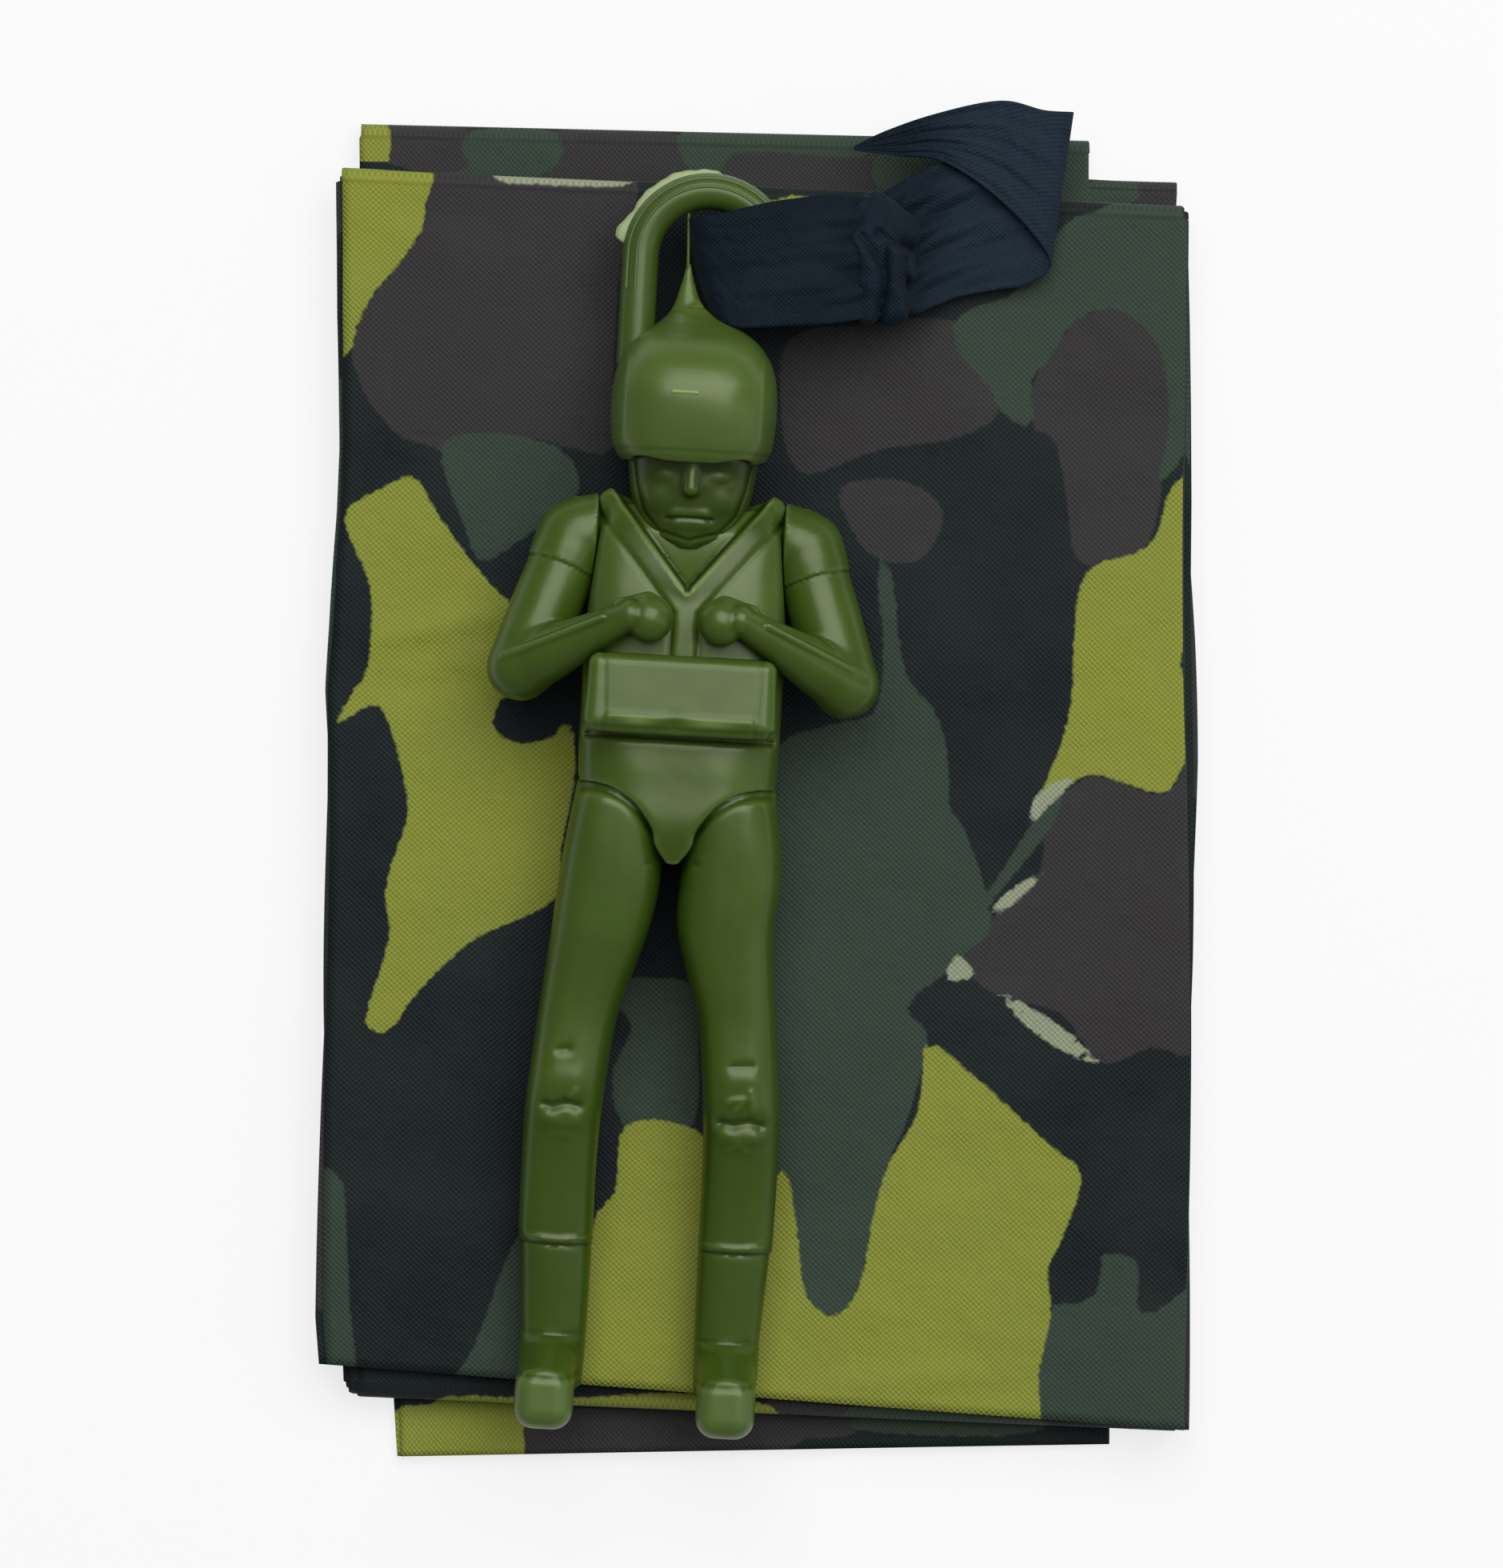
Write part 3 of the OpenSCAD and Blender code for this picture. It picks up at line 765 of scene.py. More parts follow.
def show(name: str, data: bpy.types.ID) -> bpy.types.Object:
    """Put a new object with its data into the scene."""
    made = bpy.data.objects.new(name, data)
    bpy.context.scene.collection.objects.link(made)
    return made


def plain_mesh(piece: bpy.types.Object) -> bpy.types.Mesh:
    """A new mesh with the object's modifiers applied."""
    graph = bpy.context.evaluated_depsgraph_get()
    return bpy.data.meshes.new_from_object(piece.evaluated_get(graph))


@dataclass
class Sheet:
    """Points and faces on their way into a mesh, in mm in the row frame."""

    points: Array
    faces: Array
    numbers: dict[str, Array] = field(default_factory=dict)
    flat: Array | None = None

    def piece(self, name: str, material: bpy.types.Material) -> bpy.types.Object:
        """Make the object.

        Args:
            name: Name of the piece.
            material: Its finish.

        Returns:
            The object, at the origin and with smooth shading.
        """
        mesh = bpy.data.meshes.new(name)
        corners = self.faces.shape[1]
        mesh.vertices.add(len(self.points))
        mesh.vertices.foreach_set("co", (self.points * MM).astype(np.float32).ravel())
        mesh.loops.add(self.faces.size)
        mesh.loops.foreach_set("vertex_index", self.faces.astype(np.int32).ravel())
        mesh.polygons.add(len(self.faces))
        mesh.polygons.foreach_set("loop_start", np.arange(0, self.faces.size, corners, dtype=np.int32))
        mesh.update(calc_edges=True)
        mesh.validate()
        for word, numbers in self.numbers.items():
            layer = mesh.attributes.new(word, "FLOAT", "POINT")
            layer.data.foreach_set("value", numbers.astype(np.float32))
        if self.flat is not None:
            order = np.zeros(len(mesh.loops), dtype=np.int32)
            mesh.loops.foreach_get("vertex_index", order)
            layer = mesh.uv_layers.new(name="flat")
            layer.data.foreach_set("uv", (self.flat[order] * MM).astype(np.float32).ravel())
        mesh.shade_smooth()
        mesh.materials.append(material)
        return show(name, mesh)


def carved(space: Space, body: Array, name: str, material: bpy.types.Material,
           painted_light: PaintedLight | None = None) -> bpy.types.Object:
    """Turn a carved body of the figure into a piece.

    Args:
        space: Where it was carved.
        body: Its distances.
        name: Name of the piece.
        material: Its finish.
        painted_light: How much paler than the plain plastic each point is, in steps of relief.

    Returns:
        The object.
    """
    points, faces, relief = space.skin(body)
    relief = np.maximum(relief, -DEEPEST)
    # Add the piece's painted light: paler where it shows lit, darker where it shows shaded.
    if painted_light:
        relief = relief + painted_light(*points.T)
    return Sheet(points + FIGURE_PLACE, faces, {"relief": relief}).piece(name, material)


def seat(piece: bpy.types.Object, body: str, slot: Slot, *nodes: str) -> None:
    """Make a piece stand for the CAD nodes it is given, by hiding them, and ride on a body."""
    if nodes:
        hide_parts(*nodes)
    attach(piece, body)
    LOG.info("%s: %d faces, on %s", piece.name, len(piece.data.polygons), body)


# The figure


@dataclass
class Torso:
    """Both halves of the torso, with the harness.

    A row has its share of the height, and its shares of the half width, the front and the back.
    """

    height: float = 28.3
    chest_half: float = 8.2
    front: float = 5.3
    back: float = 5.6
    shoulder_y: float = 25.9
    flank: float = 6.85
    flank_slope: float = 0.155
    flank_reach: float = 8.4
    hip: Point2 = (7.04, -0.1)
    hip_radius: float = 5.8
    hip_axis: float = 2.0
    strap_half: float = 0.95
    strap_rise: float = 0.22
    square: float = 3.2
    ridge: tuple[Point, Point] = ((4.2, 26.9, 1.3), (6.3, 27.85, 0.5))
    fork: float = 20.1
    strap_line: tuple[Point2, ...] = ((0.0, 16.0), (0.0, 20.1), (6.1, 27.6), (7.2, 29.4))
    belt: float = 9.95
    row_shares: tuple[Row, ...] = (
        (0, 0.62, 0.86, 0.8), (0.1, 0.88, 1, 0.96), (0.22, 0.95, 1, 1), (0.42, 0.965, 1, 1),
        (0.66, 0.965, 1, 1), (0.82, 0.93, 0.92, 0.96), (0.93, 0.88, 0.72, 0.82), (1, 0.7, 0.42, 0.56))

    def shoulder_face(self, space: Space) -> Array:
        """How far a point lies outside the cone on which the arms turn."""
        return np.abs(space.x) - self.flank - self.flank_slope * space.axle(self.shoulder_y)

    def hip_arc(self, space: Space) -> Array:
        """Distance outside the arcs of the leg openings, seen from the front."""
        side = np.abs(space.x)
        return np.sqrt((side - self.hip[0]) ** 2 + (space.y - self.hip[1]) ** 2) - self.hip_radius

    def hip_ball(self, space: Space) -> Array:
        """Distance outside the round recess in which a thigh turns.

        The recess meets the front of the torso in the hip line, and is shallower by the crotch.
        """
        near = np.clip(np.abs(space.x), 1.3, 7.5)
        line = self.hip[1] + np.sqrt(np.maximum(self.hip_radius ** 2 - (near - self.hip[0]) ** 2, 0))
        skin = self.front * (1 - (near / 7.85) ** self.square) ** (1 / self.square)
        radius = np.sqrt((line - self.hip_axis) ** 2 + skin ** 2) - 1.3 * (1 - smooth_step(1.3, 3.2, near))
        return space.axle(self.hip_axis) - radius

    def seam(self, space: Space) -> Array:
        """How deep the groove along the hip line is at each point, from 0 to 1."""
        ahead, above = smooth_step(1.5, 3, space.z), smooth_step(1.5, 3, space.y)
        return bell(self.hip_arc(space), 0.34) * ahead * above

    def body(self, space: Space) -> Array:
        """Outline of the whole torso with the limbs' recesses."""
        rows = curve([
            (share * self.height, 0, 0, half * self.chest_half, front * self.front, back * self.back,
             self.square + min(1.0, max(0.0, 4 * share - 1.2)))
            for share, half, front, back in self.row_shares])
        body = union(space.loft(rows), space.folded().rod(*self.ridge, 1.35, 1.25), 0.7)
        side = np.abs(space.x)
        crotch = (0.35 + 0.75 * (space.y + 0.1) - side) * 0.8
        body = cut(body, np.maximum(crotch, space.y - 1.4), 0.25)
        body = cut(body, self.hip_arc(space), 0.25)
        body = cut(body, np.maximum(self.hip_ball(space), 1.2 - side), 0.3)
        beside = space.axle(self.shoulder_y) - self.flank_reach
        return cut(body, np.maximum(-self.shoulder_face(space), beside), 0.25)

    def aslant(self, side: Array, y: Array) -> Array:
        """How far a point lies above the middle of the slanting strap, seen from the front."""
        return 0.63 * (y - self.fork) - 0.776 * side

    def harness(self, space: Space) -> Array:
        """Height of the harness and the neckline over the plain torso."""
        mirrored = space.folded()
        gap = mirrored.stroke(self.strap_line)
        band = 1 - smooth_step(self.strap_half - 0.3, self.strap_half + 0.05, gap)
        edge = bell(gap - self.strap_half - 0.16, 0.2)
        sunk = np.clip(2.1 - 0.38 * (space.y - 21.5), 0.35, 2.1)
        neck = smooth_step(20.6, 21.9, space.y - mirrored.x * 1.25) * sunk
        ahead = smooth_step(-0.4, 0.4, space.z)
        belt = bell(space.y - self.belt, 0.3) * (1 - smooth_step(7.2, 7.6, mirrored.x))
        across = np.clip(self.aslant(mirrored.x, space.y) / self.strap_half, -1, 1)
        slant = 0.17 * across * smooth_step(20.1, 21.5, space.y)
        raised = band * (self.strap_rise + slant)
        return raised - edge * 0.1 - ahead * (neck * (1 - band) + belt * 0.38)

    def painted_light(self, x: Array, y: Array, z: Array) -> Array:
        """Painted light: the plastic pales over the chest as a painted highlight and darkens under the
        harness as painted shade.
        """
        gap = np.abs(self.aslant(np.abs(x), y))
        band = 1 - smooth_step(self.strap_half - 0.2, self.strap_half + 0.1, gap)
        chest = smooth_step(15, 16.5, y) * (1 - smooth_step(26, 28, y)) * smooth_step(2, 4, z)
        return chest * (1.6 - 3.4 * band * smooth_step(20.1, 21, y))

    def clothed(self, space: Space) -> Array:
        """The torso with its harness and neckline."""
        return self.body(space) - self.harness(space) * smooth_step(0.2, 1.2, np.abs(space.z))

    def build(self, finish: bpy.types.Material) -> None:
        """Carve both halves and seat them."""
        space = Space((-8.9, -0.6, -6.1), (8.9, 29.6, 6.4), 0.18)
        body = self.clothed(space)
        plate = bell(np.abs(space.x) - 3.3, 1.5) * (1 - smooth_step(7, 9.5, space.y))
        body = body - 0.1 * plate * smooth_step(2, 4, space.z) + 0.3 * self.seam(space)
        front = carved(space, cut(body, space.z, 0.12), "torso_front_shell", finish, self.painted_light)
        seat(front, "torso", Slot.FIGURE, "torso_front")
        back = carved(space, cut(body, 0.04 - space.z, 0.12), "torso_back_shell", finish)
        seat(back, "torso", Slot.FIGURE, "torso_back")


@dataclass
class ReservePack:
    """The reserve pack on the belly."""

    half: float = 7.45
    low: float = 10.35
    height: float = 6.05
    back: float = 3.6
    front: float = 7.9

    def build(self, finish: bpy.types.Material) -> None:
        """Carve the pack and seat it."""
        space = Space((-7.8, 9.9, 3.2), (7.8, 16.8, 8.7), 0.15)
        top = self.low + self.height
        body = space.block((-self.half, self.low, self.back), (self.half, top, self.front), 0.95)
        share = (space.y - self.low) / self.height
        side = np.abs(space.x)
        face = smooth_step(5.2, 7.4, space.z)
        crown = 0.14 * (1 - (space.x / self.half) ** 4)
        tilt = 0.3 * (0.5 - share)
        lip = bell(share - 0.17, 0.05) * (1 - smooth_step(5.4, 6.2, side))
        tuck = bell(share - 0.04, 0.035)
        fold = bell(side - 5.9 - 0.25 * share, 0.22)
        dent = bell(space.x + 0.3, 0.9) * bell(share - 0.12, 0.08)
        body = body - (crown + tilt + 0.14 * lip - 0.1 * tuck - 0.06 * fold - 0.2 * dent) * face
        body = cut(body, Torso().body(space) - 0.05, 0.08)
        for hand in Side:
            body = cut(body, Arm(hand).forearm(space) - 0.18, 0.15)
        case = carved(space, body, "reserve_pack_case", finish, self.painted_light)
        seat(case, "torso", Slot.FIGURE, "reserve_pack")

    def painted_light(self, x: Array, y: Array, z: Array) -> Array:
        """Painted highlights: two pale patches along the pack's lower edge, where light catches its lip."""
        painted_highlights = bell(x + 3.3, 1.2) + bell(x - 2.4, 1.7)
        return 11 * painted_highlights * bell(y - self.low - 0.75, 0.34) * smooth_step(6.5, 7.5, z)


@dataclass
class Head:
    """Head with a plain face, and the neck. A row has its height, half width, front and back."""

    rows: tuple[Row, ...] = (
        (25.05, 1.9, 4.1, 1.6), (25.6, 2.95, 4.45, 2.8), (26.5, 3.75, 4.75, 3.4), (27.7, 4.35, 5.05, 3.9),
        (29.1, 4.75, 5.4, 4.2), (30.7, 5.0, 5.85, 4.4), (32.1, 5.15, 6.3, 4.6), (34.2, 5.0, 6.2, 4.6),
        (36.6, 4.4, 5.4, 4.0))
    middle: float = 1.0
    face_x: float = -0.15
    strap_line: tuple[Point2, ...] = (
        (-4.75, 31.4), (-4.4, 29.4), (-3.75, 27.6), (-2.5, 26.15), (-0.15, 25.5), (2.2, 26.15),
        (3.45, 27.6), (4.1, 29.4), (4.45, 31.4))
    mouth_line: tuple[Point2, ...] = ((-1.9, 27.15), (-1.0, 27.22), (0.7, 27.22), (1.6, 27.15))

    def skull(self, space: Space, grow: float) -> Array:
        """The head's plain outline, moved out by grow."""
        rows = curve([(y, self.face_x, self.middle, half, front - self.middle, back + self.middle, 2.3)
                      for y, half, front, back in self.rows])
        return space.loft(domed(rows, 0.55, 1.3, LOFT_SIZES)) - grow

    def build(self, finish: bpy.types.Material) -> None:
        """Carve the head and seat it."""
        space = Space((-5.7, 23.4, -5.0), (5.5, 38.5, 7.6), 0.15)
        body = self.skull(space, 0)
        for side in (-1, 1):
            x = self.face_x + side * 1.95
            socket = space.ball((x, 30.7, 6.6), (1.5, 0.8, 0.85))
            lid = space.ball((x, 30.5, 4.95), (0.8, 0.36, 0.4))
            cheek = space.ball((x + side * 0.5, 28.9, 4.0), 0.9)
            body = union(union(cut(body, socket, 0.9), lid, 0.4), cheek, 1.0)
        nose = space.rod((self.face_x, 31.3, 5.7), (self.face_x, 29.5, 5.75), 0.42, 0.62)
        body = union(body, nose, 0.45)
        for low, high, y, z in ((-1.3, 1.0, 27.6, 4.68), (-1.1, 0.8, 26.85, 4.42)):
            body = union(body, space.rod((low, y, z), (high, y, z), 0.3), 0.5)
        front = smooth_step(2.2, 3.4, space.z)
        mouth, strap = space.stroke(self.mouth_line), space.stroke(self.strap_line)
        body = body + front * (0.16 * bell(mouth, 0.17) + 0.14 * bell(strap, 0.16))
        neck = space.spindle((0, 24, -0.4), (0, 36, -0.4), [(0, 2.75), (1.2, 2.4), (11, 2.4)])
        body = union(body, neck, 0.8)
        body = cut(body, Torso().clothed(space) - 0.05, 0.1)
        face = carved(space, body, "head_with_face", finish, self.painted_light)
        seat(face, "torso", Slot.FIGURE, "head")

    @staticmethod
    def painted_light(x: Array, y: Array, z: Array) -> Array:
        """Painted shade: the plastic darkens over the face, most of all under the brim."""
        return -smooth_step(1.5, 3.5, z) * (3.6 + 2.0 * smooth_step(29, 31.3, y))


@dataclass
class Helmet:
    """Helmet with its brim and the pointed sprue on its crown.

    A row has its height, half width, front and back. The spire's rows are those of Space.loft.
    """

    middle: float = -0.3
    middle_z: float = 0.6
    brim: float = 31.4
    # The next number is painted light that makes the whole helmet paler.
    tone: float = 2.4
    # The next number makes the mould's bar pale, a painted highlight.
    mark_highlight: float = 18.0
    rows: tuple[Row, ...] = (
        (31.4, 5.1, 6.75, 4.5), (31.9, 5.75, 7.25, 4.9), (33.0, 6.3, 7.75, 5.15), (35.3, 6.54, 8.15, 5.3),
        (37.2, 6.5, 8.2, 5.3), (38.8, 6.25, 7.7, 5.1), (40.1, 5.7, 6.8, 4.6), (41.2, 4.85, 5.5, 3.9),
        (42.0, 3.8, 3.9, 2.9), (42.6, 2.7, 2.6, 2.1), (43.2, 1.3, 1.45, 0.7), (43.9, 0.2, 0.75, -0.4))
    spire: tuple[Row, ...] = (
        (41.5, -1.2, 0.3, 3.0, 2.5, 2.2, 2), (42.6, -1.2, 0.2, 2.1, 1.6, 1.5, 2),
        (43.5, -1.23, 0.1, 1.42, 1.05, 1.0, 2), (44.3, -1.25, 0, 1.02, 0.75, 0.75, 2),
        (45.2, -1.3, 0, 0.72, 0.52, 0.52, 2), (46.2, -1.33, 0, 0.42, 0.34, 0.34, 2),
        (47.2, -1.35, 0, 0.2, 0.2, 0.2, 2))

    @staticmethod
    def shell(space: Space, rows: Sequence[Row], high: float) -> Array:
        """A body through rows that is flat below and domed above."""
        return space.loft(domed(curve(rows), 0, high, LOFT_SIZES)[CAP_STEPS:])

    def build(self, finish: bpy.types.Material) -> None:
        """Carve the helmet and seat it."""
        space = Space((-7.1, 31.0, -5.8), (6.6, 47.6, 8.7), 0.15)
        rows = [(y, self.middle, self.middle_z, half, front - self.middle_z, back + self.middle_z, 2.9)
                for y, half, front, back in self.rows]
        body = union(self.shell(space, rows, 0.3), self.shell(space, self.spire, 0.2), 0.8)
        hollow = Head().skull(space, 0.3)
        room = space.block((-5.0, 20, -4.3), (4.6, self.brim + 1.4, 6.75), 1.9)
        body = cut(body, union(hollow, room, 0.3), 0.3)
        over_brim = space.y - self.brim - 1.0 + 0 * body
        body = body + 0.05 * bell(over_brim, 0.14) * smooth_step(-0.9, -0.4, body)
        facet = bell(np.abs(space.x - self.middle) - 5.35, 0.22) * smooth_step(3.5, 5.5, space.z)
        body = body - 0.05 * facet * smooth_step(32.6, 34, space.y)
        helmet = carved(space, body, "helmet_shell", finish, self.painted_light)
        seat(helmet, "torso", Slot.FIGURE, "helmet")
        self.mark(finish)

    def painted_light(self, x: Array, y: Array, z: Array) -> Array:
        """Painted light: the whole helmet is evenly paler, as it shows lit."""
        return np.full_like(x, self.tone)

    def mark(self, finish: bpy.types.Material) -> None:
        """The short raised bar that the mould left on the front of the crown, coloured pale all over as a
        painted highlight.
        """
        space = Space((-2.4, 36.5, 7.2), (0.4, 37.4, 8.9), 0.06)
        points, faces, relief = space.skin(space.rod((-1.95, 36.95, 8.1), (-0.05, 36.95, 8.14), 0.2))
        # The bar is coloured pale as a painted highlight.
        pale = {"relief": np.full_like(relief, self.mark_highlight)}
        seat(Sheet(points + FIGURE_PLACE, faces, pale).piece("helmet_mark", finish), "torso", Slot.FIGURE)


@dataclass
class Arm:
    """A bent arm with its sleeve and a fist that holds the harness."""

    side: Side
    shoulder: Point = (9.1, 25.35, 0.0)
    shoulder_radius: float = 3.02
    elbow: Point = (12.8, 14.85, 1.6)
    elbow_radius: float = 2.6
    wrist: Point = (5.1, 18.95, 7.45)
    fist: Point = (2.8, 19.15, 7.5)
    fist_radius: float = 1.86
    sleeve: float = 2.7
    gap: float = 0.1

    def at(self, *point: float) -> Point:
        """A point on this arm's own side."""
        return point[0] * self.side.value, point[1], point[2]

    def forearm(self, space: Space) -> Array:
        """The forearm alone."""
        length = math.dist(self.elbow, self.wrist)
        stations = curve([(0, 2.45), (length * 0.3, 2.2), (length * 0.6, 1.75), (length, 1.25),
                          (length + 1.2, 1.2)])
        stations = domed(stations, 2.4, 1.1, SPINDLE_SIZES)
        return space.spindle(self.at(*self.elbow), self.at(*self.wrist), stations)

    def build(self, finish: bpy.types.Material) -> None:
        """Carve the arm and seat it."""
        space = Space.beside(self.side, (0.3, 11.4, -3.6), (15.9, 29.0, 9.9), 0.17)
        length = math.dist(self.shoulder, self.elbow)
        r, hem = self.shoulder_radius, self.sleeve
        stations = [
            (0, r), (1.4, r - 0.02), (hem - 0.14, r - 0.12), (hem, r - 0.34), (hem + 0.14, r - 0.22),
            *curve([(hem + 0.5, r - 0.24), (length * 0.5, 2.78), (length * 0.8, 2.72),
                    (length, self.elbow_radius)])]
        stations = domed(stations, r, self.elbow_radius, SPINDLE_SIZES)
        body = space.spindle(self.at(*self.shoulder), self.at(*self.elbow), stations)
        body = union(body, space.rod(self.at(6.4, 26.4, 0), self.at(8.0, 25.9, 0), 2.7, 2.85), 0.5)
        body = np.maximum(body, self.gap - Torso().shoulder_face(space))
        body = union(body, self.forearm(space), 0.55)
        body = union(body, self.crease(space), 0.22)
        body = union(body, self.hand(space), 0.2)
        peg = space.rod(self.at(5.7, 25.9, 0), self.at(9.0, 25.9, 0), 1.38)
        body = np.minimum(body, np.maximum(peg, 5.6 - space.x * self.side.value))
        name = f"{self.side.word}_arm"
        seat(carved(space, body, f"{name}_and_fist", finish), name, Slot.FIGURE, name)

    def crease(self, space: Space) -> Array:
        """The raised line along the top of the forearm."""
        elbow, wrist = np.array(self.at(*self.elbow)), np.array(self.at(*self.wrist))
        along = (wrist - elbow) / np.linalg.norm(wrist - elbow)
        lit = np.array([0, 0.45, 0.9])
        up = lit - along * np.dot(lit, along)
        up /= np.linalg.norm(up)
        start, end = elbow + 0.4 * along + up * 2.46, wrist - 0.6 * along + up * 1.44
        return space.rod(tuple(start), tuple(end), 0.27, 0.22)

    def hand(self, space: Space) -> Array:
        """A closed fist with the edge of the hand above it."""
        x, y, z = self.fist
        hand = space.ball(self.at(x, y, z), self.fist_radius)
        start, end = self.at(x + 2.4, y + 0.9, z - 0.1), self.at(x + 0.2, y + 1.6, z + 0.1)
        return union(hand, space.rod(start, end, 0.6, 0.45), 0.6)


@dataclass
class Leg:
    """A leg with knee folds, trouser cuff and boot.

    A row has its height, middle, half width, front and back, as on the left leg.
    """

    side: Side
    lean: float = -0.5
    gap: float = 0.1
    back_reach: float = 5.5
    pin_radius: float = 1.06
    pin_reach: float = 6.06
    middle: float = 6.95
    rows: tuple[Row, ...] = (
        (-30.3, 7.12, 2.95, 0.2, -5.1), (-29.6, 7.13, 2.95, 0.34, -5.1), (-26, 7.16, 2.96, 0.95, -5.05),
        (-21.6, 7.12, 3.0, 1.9, -4.9), (-19, 6.99, 3.06, 2.6, -4.8), (-16.8, 6.8, 3.06, 2.85, -4.7),
        (-12, 6.27, 3.16, 3.1, -4.5), (-5.5, 4.98, 3.82, 3.95, -4.5), (-1.3, 4.76, 4.0, 4.45, -4.65),
        (2, 4.72, 3.76, 4.75, -4.8), (5.6, 4.5, 3.42, 4.9, -4.8), (8.2, 4.4, 3.2, 4.9, -4.8))
    boot_rows: tuple[Row, ...] = (
        (-41.6, 6.85, 2.4, -1.1, -5.2), (-38, 6.85, 2.55, -0.85, -5.2), (-33, 6.97, 2.74, -0.2, -5.15),
        (-30.4, 7.05, 2.82, 0.12, -5.1), (-29.2, 7.1, 2.75, 0.0, -5.0))

    def tube(self, space: Space, rows: Sequence[Row], square: float) -> Array:
        """A limb from rows of height, middle, half width, front and back."""
        full = []
        for y, x, half, front, back in rows:
            depth = (front - back) / 2
            x = self.side.value * x + self.lean * min(1, max(0, -y / 6))
            full.append((y, x, (front + back) / 2, half, depth, depth, square))
        return space.loft(curve(full))

    def build(self, finish: bpy.types.Material) -> None:
        """Carve the leg and seat it."""
        space = Space.beside(self.side, (0.2, -45.8, -5.9), (11.2, 8.3, 5.3), 0.18)
        torso = Torso()
        axle = space.axle(torso.hip_axis)
        ball = torso.hip_ball(space) + self.gap
        arc = torso.hip_arc(space) + self.gap
        behind = np.maximum(np.maximum(arc, axle - self.back_reach), space.z)
        room = np.minimum(np.minimum(ball, behind), space.y - 0.2)
        leg = cut(self.tube(space, self.rows, 2.7), -room, 0.42)
        boot = self.tube(space, self.boot_rows, 2.5)
        body = union(np.minimum(leg + 0.3 * torso.seam(space), boot), self.foot(space), 0.7)
        body = body + self.folds(space)
        hole = np.maximum(axle - self.pin_radius, space.x * self.side.value - self.pin_reach)
        body = cut(body, hole, 0.1)
        name = f"{self.side.word}_leg"
        seat(carved(space, body, f"{name}_and_boot", finish, self.painted_light), name, Slot.FIGURE, name)

    @staticmethod
    def painted_light(x: Array, y: Array, z: Array) -> Array:
        """Painted light: the plastic darkens down the shin and boot as painted shade, and pales on the toe
        cap as a painted highlight.
        """
        cap = smooth_step(40.6, 41.2, -y) * smooth_step(-1, 1, z)
        return 3.2 * cap - 1.3 * smooth_step(17.5, 21, -y) * (1 - cap)

    def foot(self, space: Space) -> Array:
        """The boot's foot with its toe cap."""
        sign, shift = self.side.value, self.lean * 1.2
        middle = sign * 7.15 + shift
        heel, toe = (sign * 6.9 + shift, -39.2, -3.1), (middle, -42.5, 1.6)
        length = math.dist(heel, toe)
        stations = curve([(0, 2.55), (length * 0.5, 2.6), (length, 2.95)])
        stations = domed(stations, 2.45, 3.0, SPINDLE_SIZES)
        block = space.block((middle - 2.32, -44.9, -5.3), (middle + 2.32, -36.0, 3.6), 1.5)
        return cut(space.spindle(heel, toe, stations), -block, 0.5)

    def folds(self, space: Space) -> Array:
        """Depth of the knee's folds, the cuff, the ankle and the toe cap at each point."""
        sign = self.side.value
        creases = np.zeros_like(space.z)
        for points, width, deep in KNEE_FOLDS[self.side]:
            gap = space.stroke([(sign * x + self.lean, y) for x, y in points])
            creases = creases + deep * bell(gap, width)
        across = space.x * sign - self.lean * sign - self.middle
        bow = 0.05 * across ** 2

        def ring(y: float, width: float) -> Array:
            """A line round the leg at a height, bowed a little."""
            return bell(space.y - y - bow, width)

        cuff = ring(-30.5, 0.16) * 0.08
        hem = ring(-30.05, 0.26) * 0.2 * (1 - smooth_step(2.0, 2.9, np.abs(across)))
        ankle = ring(-37.6, 0.2) * 0.1 - ring(-38.1, 0.22) * 0.04
        cap = ring(-40.9, 0.2) * 0.1
        return (creases + cuff - hem + ankle + cap) * smooth_step(-3.2, -1.2, space.z)


# A fold has its line on the front, its width and its depth, which is negative for a ridge.
Fold = tuple[tuple[Point2, ...], float, float]
KNEE_FOLDS: dict[Side, tuple[Fold, ...]] = {
    Side.RIGHT: (
        (((5.9, -19.3), (6.8, -19.15), (7.9, -19.45), (8.4, -19.3)), 0.45, 0.42),
        (((5.9, -20.6), (7.1, -20.8), (8.4, -20.5)), 0.5, -0.13),
        (((6.4, -21.7), (7.8, -21.65)), 0.3, -0.06), (((6.9, -14.9), (7.5, -15.0)), 0.4, 0.2),
        (((6.2, -17.3), (8.1, -17.2)), 0.95, -0.12), (((6.1, -18.2), (6.5, -18.6)), 0.3, -0.12),
    ),
    Side.LEFT: (
        (((5.5, -20.0), (6.4, -20.2), (7.6, -19.9), (8.5, -20.1)), 0.45, 0.42),
        (((5.6, -21.2), (6.8, -21.4), (8.2, -21.2)), 0.5, -0.13),
        (((6.2, -22.2), (7.0, -21.8), (7.6, -22.3)), 0.3, -0.08), (((6.2, -15.6), (7.5, -15.5)), 0.35, 0.18),
        (((6.1, -16.8), (7.9, -16.6)), 0.7, -0.1), (((5.9, -18.4), (7.2, -18.2), (6.6, -18.9)), 0.3, -0.15),
        (((7.7, -17.6), (8.0, -18.9)), 0.32, -0.16),
    ),
}


# Paths and repeats


